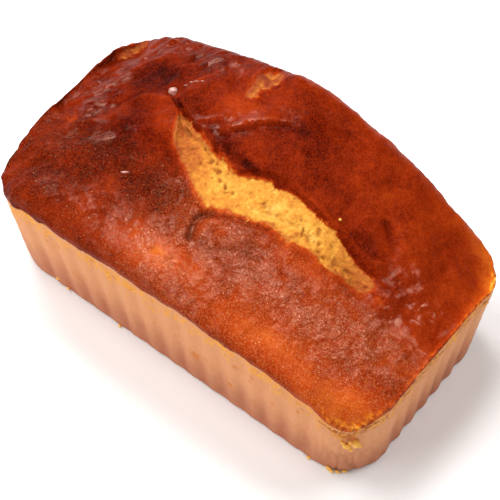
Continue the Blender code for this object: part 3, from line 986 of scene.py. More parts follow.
@dataclass(frozen=True)
class TornCrumb:
    """The open crumb of the long tear and of the smaller torn places."""

    wander: float = 0.0005
    fray_share: float = 1.1
    near_quick: Ease = Ease(-0.0014, 0.004)
    near_slow: Ease = Ease(-0.0014, 0.006)
    near_quick_share: float = 0.38
    far_start: float = -0.0005
    far_fade: float = 0.0009
    far_fade_wide: float = 0.0028
    wide_from: Ease = Ease(-0.034, 0.006)
    wide_to: Ease = Ease(0.012, -0.006)
    left_tip: Ease = Ease(-0.048, 0.004)
    right_tip: Ease = Ease(0.07, -0.004)
    near_edge: Knots = in_metres((
        (-48, 15), (-45.3, 12), (-42.8, 7), (-39.3, 1.4), (-35, -2.2), (-29, -4.4), (-24, -7.8),
        (-17.5, -11.4), (-12.3, -14.2), (-7, -15.8), (-2, -13.4), (6.7, -11.4), (10.6, -10.1),
        (16.2, -7.8), (21.8, -7.2), (26.3, -7.9), (29.7, -7.8), (33.3, -6.1), (36.8, -5.5), (41.2, -6),
        (47.8, -6.8), (50.9, -7), (54.2, -5.6), (60.3, -5.2), (63.9, -5.8), (67, -3), (70, -0.4),
    ))
    far_edge: Knots = in_metres((
        (-48, 15.2), (-45, 13.8), (-39, 11.9), (-34.6, 9.8), (-30, 7.6), (-24.8, 5.4), (-20.9, 4),
        (-18.8, 2.8), (-14.3, 3.6), (-11.5, 2.1), (-8.2, 1.3), (-4.9, 0.6), (-2.4, 2), (4.2, 5),
        (9.2, 6.4), (11.1, 5.4), (15.6, 7.2), (21.1, 8.5), (23.6, 7.9), (27.1, 7.2), (30.1, 7),
        (35.8, 5.9), (42.5, 6.4), (47.9, 5.2), (50, 3.8), (54.1, 3), (58.8, 1.9), (66, 1.4), (70, 0.6),
    ))
    crease_reach: float = 0.0014
    creases: tuple[Path, ...] = (
        Path(in_metres((
            (-45, 13), (-41.7, 11.1), (-35, 6.9), (-30.8, 5.2), (-26.2, 4), (-21.1, 1.2), (-16.1, -1),
            (-11.5, -3), (-7.5, -4.6), (-2.3, -6.4),
        ))),
        Path(in_metres((
            (10.3, -2.1), (15, -3.5), (22.7, -3.3), (27.8, -2.5), (31.1, -2), (36.5, -2.4),
            (41.5, -3.5), (45.9, -4.1), (50.2, -3.5), (54.3, -2.5), (59.1, -4), (65, -3),
        ))),
    )
    # Paler spots on the crumb's brightest faces: painted light.
    pale: tuple[Spot, ...] = spots((
        (-10.6, -6.5, 5.5, 3.2, -10, 0.09), (10.1, -5.9, 6, 2.8, 10, 0.11), (18, -1, 8, 3.6, -5, 0.1),
        (35, -0.6, 7, 2, -5, 0.07), (-26, 4.5, 4.5, 2.4, -20, 0.05), (-1, 0.5, 6, 3, 20, 0.04),
    ))
    large_pores: tuple[Spot, ...] = spots((
        (-37.5, 7.7, 3.2, 0.8, -25, 1), (-44, 11.5, 1.8, 0.6, -40, 1), (-30.7, 6.7, 1.5, 0.5, 38, 0.95),
        (-30.1, 2.1, 1.7, 0.5, 45, 0.95), (-24.9, 3.9, 0.9, 0.6, -51, 0.85),
        (-22.7, -1.1, 0.7, 0.6, 0, 0.7), (-18.9, 1.1, 1.5, 0.7, 38, 0.75),
        (-15.8, 1.3, 0.8, 0.7, 0, 0.55), (-13.8, -1.1, 1.3, 0.8, 38, 0.7),
        (-11.1, -3.2, 1, 0.8, 0, 0.7), (-7.3, -4.5, 1.2, 0.7, -60, 0.95), (-3, -5.2, 1, 0.7, 0, 0.8),
        (-5.9, -6.2, 0.9, 0.6, 20, 0.6), (-28.3, -2.4, 0.9, 0.6, 0, 0.45),
        (-14.4, -8.1, 1, 0.8, 0, 0.38), (-8.5, -9.3, 1, 0.7, 0, 0.38), (11, -1.7, 1.1, 0.5, 38, 0.95),
        (12.6, -2.4, 1.1, 0.7, 0, 0.5), (15.5, -3.7, 1.5, 1, 0, 0.45), (8.5, -6.3, 0.6, 0.6, 0, 0.6),
        (31.6, -1.9, 1.8, 0.6, -65, 0.95), (35.1, -2.6, 1.5, 0.7, -30, 0.7),
        (37, 2, 1.8, 0.8, -51, 0.65), (41.3, -3.6, 1, 0.7, 0, 0.8), (44.4, -4.4, 1, 0.7, 0, 0.85),
        (49.1, -2.7, 2.1, 1.2, -51, 0.7), (44.5, 1.2, 0.9, 0.9, 0, 0.45),
        (54.9, -1.9, 1.1, 0.9, 0, 0.6), (58.7, -4.2, 1.3, 0.7, -51, 0.9),
        (28.3, 1.6, 0.6, 0.6, 0, 0.55), (20, -6.2, 0.9, 0.6, 0, 0.55), (52.1, -4.7, 1.1, 0.8, 0, 0.55),
    ))
    hollow: Spot = Spot(-0.0208, 0.0425, 0.004, 0.0026, 20.0, 1.0)
    golden: tuple[Spot, ...] = spots((
        (-21.5, 44.5, 8.8, 5.6, 58, 0.95), (-23.2, 35, 3.6, 5.2, 20, 0.85), (-99, 38.5, 3.6, 6.2, 0, 1),
        (-96.5, 46, 4, 6, 0, 0.85), (-90.6, -8.4, 3, 3, 0, 0.62), (73, -4, 4, 1.4, 10, 0.6),
    ))
    golden_wander: float = 2.0
    golden_edge: Ease = Ease(0.3, 0.4)
    fresh_tone: float = 0.15
    end_tone: float = 0.2
    left_end: Ease = Ease(-0.01, -0.024)
    right_end: Ease = Ease(0.042, 0.018)
    small_tears_tone: float = 0.16
    tear_middle_x: float = 0.01
    past_tear_ends: Ease = Ease(0.068, 0.006)
    past_tear_far: Ease = Ease(0.026, 0.004)
    hollow_tone: float = 0.26
    near_face_tone: float = 0.04
    near_face_wander: float = 0.001
    near_face: Ease = Ease(0.0, 0.002)
    slow_tone: float = 0.08
    slow_tone_small: float = 0.13
    fast_tone: float = 0.085
    fast_tone_small: float = 0.2
    pore_edge: Ease = Ease(0.62, 0.34)
    pores_at_crease: float = 0.3
    pores_thinned: float = 0.1
    small_pore_depth: float = 0.75
    pore_wander: float = 0.0005
    large_pore_edge: Ease = Ease(0.22, 0.4)

    @staticmethod
    def _between(x: Array, knots: Knots) -> Array:
        """Jagged line through knots of place and value."""
        return np.interp(x, [knot[0] for knot in knots], [knot[1] for knot in knots])

    def cover(self, x: Array, y: Array, slow: Array, fast: Array) -> Array:
        """How far the crust covers each point: 0 over bare crumb, 1 over whole crust.

        Args:
            x: Places along the loaf.
            y: Places across the loaf.
            slow: Slow noise that makes the lips wander.
            fast: Fast noise that frays them.

        Returns:
            Values from 0 to 1.
        """
        stray = self.wander * (slow + self.fray_share * fast)
        past_near = self._between(x, self.near_edge) - y + stray
        past_far = y - self._between(x, self.far_edge) + stray
        wide = self.wide_from.of(x) * self.wide_to.of(x)
        far_fade = self.far_fade + (self.far_fade_wide - self.far_fade) * wide
        near_cover = self.near_quick_share * self.near_quick.of(past_near)
        near_cover += (1.0 - self.near_quick_share) * self.near_slow.of(past_near)
        far_cover = smooth((past_far - self.far_start) / far_fade)
        ends = self.left_tip.of(x + stray) * self.right_tip.of(x - stray)
        cover = 1.0 - (1.0 - np.maximum(near_cover, far_cover)) * ends
        for spot in self.golden:
            share = spot.share(x + self.golden_wander * stray, y + self.golden_wander * stray)
            cover = cover * (1.0 - spot.amount * self.golden_edge.of(share))
        return np.clip(cover, 0.0, 1.0)

    def tone(self, x: Array, y: Array, slow: Array, fast: Array) -> Array:
        """Browning of the bare crumb, with paler spots on its brightest faces as painted light.

        Args:
            x: Places along the loaf.
            y: Places across the loaf.
            slow: Slow noise.
            fast: Fast noise.

        Returns:
            Values mostly from 0 to 1.
        """
        tone = self.fresh_tone - total_of(self.pale, x, y)
        tone = tone + self.end_tone * (self.left_end.of(x) + self.right_end.of(x))
        small = np.maximum(self.past_tear_ends.of(np.abs(x - self.tear_middle_x)), self.past_tear_far.of(y))
        middle = self._between(x, self.creases[0].points + self.creases[1].points)
        tone = tone + self.near_face_tone * self.near_face.of(middle - y + self.near_face_wander * slow)
        tone = tone + (self.slow_tone + self.slow_tone_small * small) * slow
        tone = tone + (self.fast_tone + self.fast_tone_small * small) * fast
        return tone + self.small_tears_tone * small + self.hollow_tone * self.hollow.share(x, y)

    def pores(self, x: Array, y: Array, first: Array, second: Array) -> tuple[Array, Array]:
        """Pores and the creases that they gather along.

        Args:
            x: Places along the loaf.
            y: Places across the loaf.
            first: Noise of the small pores' size.
            second: Slower noise that thins them out.

        Returns:
            The pores and the creases, each from 0 to 1.
        """
        crease = np.zeros_like(x)
        for path in self.creases:
            crease = np.maximum(crease, np.exp(-(path.distance(x, y) / self.crease_reach) ** 2))
        crowding = first + self.pores_at_crease * crease + self.pores_thinned * second
        small = self.small_pore_depth * self.pore_edge.of(crowding)
        moved_x, moved_y = x + self.pore_wander * first, y + self.pore_wander * second
        large = np.zeros_like(x)
        for spot in self.large_pores:
            large = np.maximum(large, spot.amount * self.large_pore_edge.of(spot.share(moved_x, moved_y)))
        return np.maximum(small, large), crease


@dataclass(frozen=True)
class SidePits:
    """Torn pits of the front side: place along, height and size of each."""

    pits: Knots = in_metres((
        (13.9, 26, 2.1), (15, 23.5, 1.3), (33, 21, 1.7), (-40.1, 50.5, 1.2), (36.9, 42.5, 1.3),
        (20.5, 30, 1), (56, 33, 1.1), (-61, 40, 1), (46, 44, 1), (6, 41, 1), (-28, 48, 1.1),
        (70, 42, 1.2), (93, 40.5, 2.6), (90, 42, 1.6),
    ))
    front_y: float = -0.045
    stretch_x: float = 0.85
    stretch_z: float = 0.75
    ragged: float = 0.00045
    reach: float = 1.25

    def pit(self, points: Array, stray: Array) -> Array:
        """How deep each point lies in a pit.

        Args:
            points: Points in metres, one a row.
            stray: Noise that makes the rims ragged.

        Returns:
            Values from 0 to 1.
        """
        x, y, z = points.T
        total = np.zeros_like(x)
        for place_x, place_z, size in self.pits:
            away = np.hypot((x - place_x) * self.stretch_x, (z - place_z) * self.stretch_z)
            total = np.maximum(total, smooth(self.reach - (away + self.ragged * stray) / size))
        return total * (y < self.front_y)


@dataclass(frozen=True)
class CrustRelief:
    """Fine relief of the crust: folds drawn up at the left end, dents, wrinkles and pimples."""

    turn: float = 46.0
    along_share: float = 0.36
    height_share: float = 0.8
    warp: NoiseKind = NoiseKind(0.006)
    warp_reach: float = 0.0012
    folds: Creasing = Creasing(NoiseKind(0.0076), 1.7, 1.7)
    fold_height: float = 0.0013
    fold_middle: float = 0.7
    fold_least: float = 0.1
    wrinkles: Creasing = Creasing(NoiseKind(0.0027), 1.8, 0.9)
    wrinkle_height: float = 0.0005
    wrinkle_least: float = 0.15
    dents: NoiseKind = NoiseKind(0.01, 3, 0.55)
    dent_height: float = 0.0006
    pimples: NoiseKind = NoiseKind(0.0021)
    pimple_level: float = 0.15
    pimple_height: float = 0.00022
    pimples_glazed: float = 0.6
    left_end: Ease = Ease(-0.03, -0.03)
    far_side: Ease = Ease(0.018, 0.02)
    far_left: Ease = Ease(0.02, -0.05)
    far_share: float = 0.4
    front_side: Ease = Ease(-0.004, -0.012)

    def height(self, points: Array, grains: Grains, haze: Array) -> Array:
        """Height of the fine relief.

        Args:
            points: Points in metres, one a row.
            grains: The three grains.
            haze: Mask of the glazed places.

        Returns:
            Heights in metres.
        """
        first, second, third = grains
        x, y, z = points.T
        along, across = turned(x, y, self.turn)
        drawn = np.stack([along * self.along_share, across, z * self.height_share], axis=1)
        warped = drawn + self.warp_reach * self.warp.over(first, points)[:, None]
        far = self.far_share * self.far_side.of(y) * self.far_left.of(x)
        drawn_up = np.maximum(self.left_end.of(x), far)
        fold_share = self.fold_least + (1.0 - self.fold_least) * drawn_up
        folds = self.fold_height * (self.folds.over(second, warped) - self.fold_middle) * fold_share
        wrinkled = self.wrinkle_least + (1.0 - self.wrinkle_least) * haze * self.front_side.of(y)
        wrinkles = self.wrinkle_height * self.wrinkles.over(third, warped) * wrinkled
        pimples = np.clip(self.pimples.over(third, points) - self.pimple_level, 0.0, 1.0)
        pimples = self.pimple_height * pimples * (1.0 - self.pimples_glazed * haze)
        return folds + wrinkles + self.dent_height * self.dents.over(first, points) + pimples


@dataclass(frozen=True)
class CornerFlakes:
    """Thin ledges of torn crust under the crust line, at the near corner and along the right end."""

    corner: Spot = Spot(0.096, -0.048, 0.021, 0.021, 0.0, 1.0)
    right_end: Ease = Ease(0.092, 0.005)
    right_stops: Ease = Ease(0.06, -0.015)
    right_share: float = 0.8
    top: Ease = Ease(-0.003, 0.002)
    bottom: Ease = Ease(0.0125, -0.004)
    stray_share: float = 0.3
    ledge_height: float = 0.0013
    sunk: float = 0.0007

    def height(self, points: Array, below: Array, stray: Array) -> tuple[Array, Array]:
        """Height and share of the ledges.

        Args:
            points: Points of the skin.
            below: Distance below the crust line.
            stray: Noise that breaks the ledges up.

        Returns:
            Height of the ledges, and their share from 0 to 1.
        """
        x, y = points[:, 0], points[:, 1]
        right = self.right_end.of(x) * self.right_stops.of(y)
        near = np.maximum(self.corner.share(x, y), self.right_share * right)
        share = near * self.top.of(below) * self.bottom.of(below)
        ledge = np.mod(below / LEDGE_STEP + self.stray_share * stray, 1.0)
        return share * (self.ledge_height * (1.0 - ledge) - self.sunk), share


@dataclass(frozen=True)
class SideRelief:
    """Fine relief of the sides: grain, torn pits, specks, golden streaks and the near corner's creases."""

    pits: SidePits = SidePits()
    slow_height: float = 0.00016
    fast_height: float = 0.00006
    pit_depth: float = 0.00055
    speck: NoiseKind = NoiseKind(0.0013)
    speck_edge: Ease = Ease(0.46, 0.16)
    speck_fields: NoiseKind = NoiseKind(0.012)
    speck_spread: float = 0.35
    speck_contrast: float = 1.5
    speck_depth: float = 0.00018
    speck_mask: float = 0.7
    corner: Spot = Spot(0.096, -0.048, 0.02, 0.02, 0.0, 1.0)
    crinkles: Creasing = Creasing(NoiseKind(0.003), 2.2, 1.0)
    crinkle_upright: float = 0.16
    crinkle_depth: float = 0.0008
    crinkle_from: Ease = Ease(0.006, 0.004)
    crinkle_groove: float = 0.9
    streak_top: Ease = Ease(0.0012, 0.003)
    streak_top_stray: float = 0.003
    streak_foot: Ease = Ease(0.0155, -0.008)
    streak_foot_stray: float = 0.006
    streak_grain: NoiseKind = NoiseKind(0.0022, 3, 0.7)
    streak_level: float = 0.3
    streak_thins: float = 22.0
    streak_height: float = 0.00025

    def read(self, points: Array, grains: Grains, below: Array,
             stray: tuple[Array, Array, Array]) -> tuple[Array, Array, Array, Array]:
        """Height and masks of the sides.

        Args:
            points: Points in metres, one a row.
            grains: The three grains.
            below: Distance below the crust line.
            stray: The slow, the fast and the cloudy noise.

        Returns:
            Height in metres, and the pits, the golden streaks and the corner's creases from 0 to 1.
        """
        first, second, third = grains
        slow, fast, cloud = stray
        x, y, z = points.T
        torn = self.pits.pit(points, fast)
        speckled = self.speck_spread + self.speck_contrast * self.speck_fields.over(third, points)
        speck = self.speck_edge.of(self.speck.over(first, points)) * smooth(speckled)
        streak = self.streak_top.of(below + self.streak_top_stray * cloud)
        streak = streak * self.streak_foot.of(below - self.streak_foot_stray * slow)
        rough = self.streak_grain.over(second, points) + self.streak_level - self.streak_thins * below
        gold = streak * smooth(rough / self.streak_level)
        crinkle = self.crinkles.over(first, np.stack([x, y, self.crinkle_upright * z], axis=1))
        corner = self.corner.share(x, y)
        height = self.slow_height * slow + self.fast_height * fast
        height = height - self.pit_depth * torn - self.speck_depth * speck
        height = height - self.crinkle_depth * corner * crinkle * self.crinkle_from.of(below)
        height = height + self.streak_height * gold * fast
        pit = np.clip(torn + self.speck_mask * speck, 0.0, 1.0)
        return height, pit, gold, self.crinkle_groove * corner * crinkle ** 2


@dataclass(frozen=True)
class CakeSurface:
    """Fine relief and the masks of crust, crumb and case side."""

    case: CaseForm
    dome: Dome
    split: Split
    torn: TornCrumb = TornCrumb()
    crust: CrustRelief = CrustRelief()
    flakes: CornerFlakes = CornerFlakes()
    sides: SideRelief = SideRelief()
    marked_folds: CrustFolds = CrustFolds()
    seed: int = 41
    slow: NoiseKind = NoiseKind(0.0046, 2, 0.5)
    fast: NoiseKind = NoiseKind(0.0018, 2, 0.7)
    cloud: NoiseKind = NoiseKind(0.012, 3, 0.55)
    side_edge: Ease = Ease(0.0002, 0.002)
    side_stray: float = 0.0006
    fold_stray: float = 0.0005
    crumb_edge: Ease = Ease(0.42, -0.24)
    pore_grain: NoiseKind = NoiseKind(0.0024, 2, 0.6)
    pore_fields: NoiseKind = NoiseKind(0.006)
    baked: tuple[Spot, ...] = spots((
        # The spot at (-70, 26) darkens the hollow near the tear's left tip and the one at (58, 22) darkens
        # a groove: both are painted shade.
        (-70, 26, 11, 8.5, 30, 0.19), (-2.8, 6.6, 4.5, 1.7, -8, 0.3), (-18, 8.5, 16, 3.5, -20, 0.16),
        (56, 8, 20, 7, -18, 0.16), (-30, -20, 17, 12, 0, 0.12), (-12, -42, 20, 8, 0, -0.3),
        (95, -48, 12, 9, 0, -0.1), (-74, -31, 20, 16, 0, 0.1), (-60, -5, 12, 10, 0, 0.14),
        (10, 28, 18, 14, 0, 0.1), (58, 22, 8, 6, -40, 0.03), (83, -33, 12, 10, 0, 0.1),
        (-47, 5, 9, 8, -30, -0.1), (-24, 26, 11, 9, 20, -0.13), (42, -45.5, 24, 7, 0, -0.27),
        (-45, -44, 18, 8, 0, -0.1), (85, -48, 20, 12, 0, -0.22), (101, 35, 6.5, 23, 6, -0.27),
        (88, 52, 20, 7, -20, -0.26), (20, 56, 50, 4, 0, -0.16), (-18, -44, 14, 6, 0, -0.1),
        (40, -13, 18, 4, 0, -0.14), (-53, 43, 13, 8, 0, 0.08), (-80, -6, 14, 14, 0, 0.05),
        (1, -31, 10, 6, 0, 0.07),
    ))
    bake_middle: float = 0.73
    right_paler: float = 0.08
    right_end: Ease = Ease(0.01, 0.06)
    left_darker: float = 0.06
    left_end: Ease = Ease(-0.01, -0.03)
    fold_shading: float = 110.0
    fold_shading_limits: tuple[float, float] = (-0.2, 0.15)
    cloud_tone: float = 0.08
    fleck_tone: float = 0.035
    flecks: NoiseKind = NoiseKind(0.0028, 2, 0.7)
    palest: float = 0.03
    hazes: tuple[Spot, ...] = spots((
        (-88, 15, 13, 24, 0, 0.48), (-70, 44, 26, 8, 0, 0.26), (-30, 56, 30, 5, 0, 0.2),
        (-69, 26, 11, 9, 30, -1.2), (5, -29, 23, 8.5, -10, 0.64), (13, -19, 11, 5, 10, 0.9),
        (36, -27, 22, 9, 0, 0.9), (-20, -41, 22, 8.5, 0, 1), (-25, -12, 7, 4, 40, 0.55),
        (68, -26, 20, 11, 10, 0.95), (83, -2, 12, 25, 0, 0.85), (-15, 21, 18, 3.5, 40, 0.6),
        (-32, 15, 11, 2.5, 30, 0.6), (-68, -10, 9, 2.2, 40, 0.7), (-60, -40, 16, 6, 0, 0.3),
        (-45, 42, 16, 5, 20, 0.2), (6, -48.5, 16, 5, 0, 0.85),
    ))
    haze_grain: NoiseKind = NoiseKind(0.006, 2, 0.6)
    haze_level: float = 0.6
    haze_contrast: float = 0.9
    crumb_slow: float = 0.0005
    crumb_fast: float = 0.00042
    pore_depth: float = 0.0012
    crease_depth: float = 0.0008
    lip_fray: float = 0.00045
    flake_stray: float = 0.6
    flake_paler: float = 0.3
    flake_level: float = 0.4
    flake_gold: float = 0.4
    flake_gold_level: float = 0.5
    flake_gold_contrast: float = 1.4
    depth_start: float = 0.25
    foot_ease: float = 0.0015

    def _below(self, skin: Skin) -> Array:
        """Distance below the crust line on the sides, minus the distance in from it on the top."""
        x, y, z = skin.points.T
        return np.where(skin.top > 0.5, -self.dome.edge_distance(x, y), self.dome.rim_height(x, y) - z)

    def _browning(self, points: Array, grain: Grain, folds: Array, cloud: Array) -> Array:
        """How far the crust is baked, with painted shade in its grooves and painted light on its folds.

        Args:
            points: Points in metres, one a row.
            grain: Grain of the small flecks.
            folds: Height of the single folds and grooves.
            cloud: Cloudy noise.

        Returns:
            Values from 0 to 1.
        """
        x, y = points[:, 0], points[:, 1]
        baked = self.bake_middle + total_of(self.baked, x, y)
        baked = baked - self.right_paler * self.right_end.of(x) + self.left_darker * self.left_end.of(x)
        # Painted shade in the marked grooves and painted light on the raised folds.
        baked = baked + np.clip(-self.fold_shading * folds, *self.fold_shading_limits)
        baked = baked + self.cloud_tone * cloud + self.fleck_tone * self.flecks.over(grain, points)
        return np.clip(baked, self.palest, 1.0)

    def _haze(self, points: Array, grain: Grain) -> Array:
        """How far the crust is glazed; the same share also weights the painted sheen in its colour.

        Args:
            points: Points in metres, one a row.
            grain: Grain of the glaze's patches.

        Returns:
            Values from 0 to 1.
        """
        haze = np.clip(total_of(self.hazes, points[:, 0], points[:, 1]), 0.0, 1.0)
        uneven = self.haze_level + self.haze_contrast * self.haze_grain.over(grain, points)
        return haze * np.clip(uneven, 0.0, 1.0)

    def read(self, skin: Skin) -> tuple[Surface, Array]:
        """Masks and fine relief of the whole skin.

        Args:
            skin: The skin before its fine relief.

        Returns:
            The masks, and how far each point moves along its outward direction.
        """
        points = skin.points
        x, y, z = points.T
        grains = Grain(self.seed), Grain(self.seed + 1), Grain(self.seed + 2)
        first, second, third = grains
        slow = self.slow.over(first, points)
        fast = self.fast.over(second, points)
        cloud = self.cloud.over(third, points)
        below = self._below(skin)
        side = self.side_edge.of(below + self.side_stray * slow)

        cover = np.where(skin.top > 0.5, self.torn.cover(x, y, slow, fast), 1.0)
        crumb = self.crumb_edge.of(cover)
        pores, crease = self.torn.pores(x, y, self.pore_grain.over(third, points),
                                        self.pore_fields.over(second, points))
        folds = self.marked_folds.height(x + self.fold_stray * slow, y + self.fold_stray * fast)
        tone = np.clip(self.torn.tone(x, y, slow, fast), 0.0, 1.0)
        bake = tone * (1.0 - cover) + self._browning(points, first, folds, cloud) * cover
        haze = self._haze(points, second) * cover

        crumb_height = self.crumb_slow * slow + self.crumb_fast * fast
        crumb_height = crumb_height - self.pore_depth * pores - self.crease_depth * crease
        fray = 4.0 * cover * (1.0 - cover)
        crust_height = self.crust.height(points, grains, haze) + self.lip_fray * fray * fast + folds
        side_height, pit, gold, crinkle = self.sides.read(points, grains, below, (slow, fast, cloud))
        rough = crumb * crumb_height + (1.0 - crumb) * (side * side_height + (1.0 - side) * crust_height)

        flakes, flaked = self.flakes.height(points, below, slow + self.flake_stray * fast)
        paler = self.flake_paler * flaked * smooth(self.flake_level + fast) * (1.0 - side)
        golden_flakes = flaked * smooth(self.flake_gold_level + self.flake_gold_contrast * fast)
        surface = Surface(
            side=side,
            crumb=crumb,
            bake=np.clip(bake - paler, 0.0, 1.0),
            haze=haze * (1.0 - side),
            # On the crumb this mask holds the pores, which the crumb's finish darkens as painted shade; on
            # the sides it marks torn pits and specks.
            pit=np.where(side > 0.5, pit, crumb * pores),
            gold=side * np.clip(gold + self.flake_gold * golden_flakes, 0.0, 1.0),
            # Grooves of the flutes and the corner's creases, which the side's finish darkens as painted
            # shade.
            groove=np.clip(side * (0.5 + self.case.flute(skin.u, skin.v) + crinkle), 0.0, 1.0),
            flaked=flaked,
            depth=np.clip(self.depth_start + below / LEDGE_REACH, 0.0, 1.0),
        )
        return surface, (rough + flakes) * smooth(z / self.foot_ease)


class Wire:
    """One output socket of a node, whose arithmetic adds Math nodes."""

    def __init__(self, book: "NodeBook", socket: bpy.types.NodeSocket) -> None:
        """Keep the socket and the book that adds nodes.

        Args:
            book: The material's node book.
            socket: The output socket.
        """
        self.book = book
        self.socket = socket

    def _math(self, operation: str, first: object, second: object) -> "Wire":
        """Result of one Math node."""
        return self.book.wire("ShaderNodeMath", {"operation": operation}, {0: first, 1: second})

    def __add__(self, other: object) -> "Wire":
        """Sum."""
        return self._math("ADD", self, other)

    __radd__ = __add__

    def __sub__(self, other: object) -> "Wire":
        """Difference."""
        return self._math("SUBTRACT", self, other)

    def __rsub__(self, other: object) -> "Wire":
        """Difference from the left."""
        return self._math("SUBTRACT", other, self)

    def __mul__(self, other: object) -> "Wire":
        """Product."""
        return self._math("MULTIPLY", self, other)

    __rmul__ = __mul__

    def held(self, low: float = 0.0, high: float = 1.0) -> "Wire":
        """The value held between two limits."""
        return self._math("MINIMUM", self._math("MAXIMUM", self, low), high)

    def wave(self) -> "Wire":
        """Sine of the value, counted in whole turns, from -1 to 1."""
        return self._math("SINE", self * (2.0 * math.pi), 0.0)

    def eased(self, low: float, high: float) -> "Wire":
        """0 below low, 1 above high and a smooth step between."""
        settings = {"interpolation_type": "SMOOTHSTEP"}
        return self.book.wire("ShaderNodeMapRange", settings, {0: self, 1: low, 2: high, 3: 0.0, 4: 1.0})


@dataclass(frozen=True)
class FineGrain:
    """Noise of a finish: size of its grain in metres, how many finer sizes it has, and their share."""

    size: float
    detail: float = 3.0
    roughness: float = 0.6


class NodeBook:
    """Adds and links the nodes of one material."""

    def __init__(self, name: str) -> None:
        """Start an empty material.

        Args:
            name: Name of the material.
        """
        self.material = bpy.data.materials.new(name)
        self.material.use_nodes = True
        self.tree = self.material.node_tree
        self.tree.nodes.clear()

    def node(self, kind: str, settings: dict | None = None, sockets: dict | None = None) -> bpy.types.Node:
        """Add one node.

        Args:
            kind: Type name of the node.
            settings: Its properties, and stops for a colour ramp, set before the sockets.
            sockets: Values or wires by socket name or number.

        Returns:
            The new node.
        """
        made = self.tree.nodes.new(kind)
        for name, value in (settings or {}).items():
            if name == "stops":
                self._set_stops(made, value)
            else:
                setattr(made, name, value)
        for key, value in (sockets or {}).items():
            target = made.inputs[key]
            if isinstance(value, Wire):
                self.tree.links.new(value.socket, target)
            elif target.type == "RGBA" and len(value) == 3:
                target.default_value = (*value, 1.0)
            else:
                target.default_value = value
        return made

    @staticmethod
    def _set_stops(ramp: bpy.types.Node, stops: tuple) -> None:
        """Give a colour ramp its stops.

        Args:
            ramp: The ramp's node.
            stops: Pairs of place and colour, rising.
        """
        elements = ramp.color_ramp.elements
        while len(elements) > 1:
            elements.remove(elements[-1])
        for place, colour in stops:
            element = elements[0] if place == stops[0][0] else elements.new(place)
            element.position = place
            element.color = (*colour, 1.0)

    def wire(self, kind: str, settings: dict | None = None, sockets: dict | None = None,
             output: str | int = 0) -> Wire:
        """Add one node and give the wire of one of its outputs."""
        return Wire(self, self.node(kind, settings, sockets).outputs[output])

    def mix(self, share: Wire, first: Wire | Colour, second: Wire | Colour) -> Wire:
        """Mix two colours by the share of the second, held from 0 to 1."""
        sockets = {0: share.held(), 6: first, 7: second}
        return self.wire("ShaderNodeMix", {"data_type": "RGBA"}, sockets, output=2)

    def ramp(self, value: Wire, stops: tuple) -> Wire:
        """Colour of a value on a ramp."""
        return self.wire("ShaderNodeValToRGB", {"stops": stops}, {0: value})

    def mask(self, name: str) -> Wire:
        """One of the skin's masks."""
        return self.wire("ShaderNodeAttribute", {"attribute_name": name}, output="Fac")

    def place(self) -> Wire:
        """Place in the object's own metres."""
        return self.wire("ShaderNodeTexCoord", output="Object")

    def axis(self, place: Wire, name: str) -> Wire:
        """One of the place's three values, X, Y or Z."""
        return self.wire("ShaderNodeSeparateXYZ", {}, {0: place}, output=name)

    def noise(self, place: Wire, grain: FineGrain) -> Wire:
        """Fine noise, with values round NOISE_MIDDLE.

        Args:
            place: Place of the shaded point.
            grain: Size and detail of the noise.

        Returns:
            The noise.
        """
        return self.wire("ShaderNodeTexNoise", {}, {
            "Vector": place,
            "Scale": 1.0 / grain.size,
            "Detail": grain.detail,
            "Roughness": grain.roughness,
        })

    def cells(self, place: Wire, size: float, wander: float = 0.7) -> Wire:
        """Distance from the borders of small cells, as in wrinkled skin.

        Args:
            place: Place of the shaded point.
            size: Size of the cells in metres.
            wander: How many of the cells' bends there are to a cell.

        Returns:
            The distance as a share of a cell.
        """
        sockets = {"Vector": place, "Scale": wander / size}
        stray = self.wire("ShaderNodeTexNoise", {}, sockets, output="Color")
        moved = self.wire("ShaderNodeVectorMath", {"operation": "MULTIPLY_ADD"},
                          {0: stray, 1: (size, size, size), 2: place})
        settings = {"feature": "DISTANCE_TO_EDGE"}
        return self.wire("ShaderNodeTexVoronoi", settings, {"Vector": moved, "Scale": 1.0 / size})

    def bump(self, height: Wire, distance: float, strength: float = 1.0,
             normal: Wire | None = None) -> Wire:
        """Bumped normal.

        Args:
            height: Height of the relief, as a share of the distance.
            distance: Height in metres that 1 stands for.
            strength: Share of the bump that shows.
            normal: Normal that is bumped, or None for the surface's own.

        Returns:
            The new normal.
        """
        sockets = {"Height": height, "Distance": distance, "Strength": strength}
        if normal is not None:
            sockets["Normal"] = normal
        return self.wire("ShaderNodeBump", {}, sockets)

    def shader(self, sockets: dict) -> Wire:
        """One plain shader with the given sockets."""
        return self.wire("ShaderNodeBsdfPrincipled", {}, sockets)

    def blend(self, share: Wire, first: Wire, second: Wire) -> Wire:
        """Mix two shaders by the share of the second."""
        return self.wire("ShaderNodeMixShader", {}, {0: share, 1: first, 2: second})

    def finish(self, shader: Wire) -> bpy.types.Material:
        """Send the shader to the material's output."""
        self.node("ShaderNodeOutputMaterial", {}, {"Surface": shader})
        return self.material


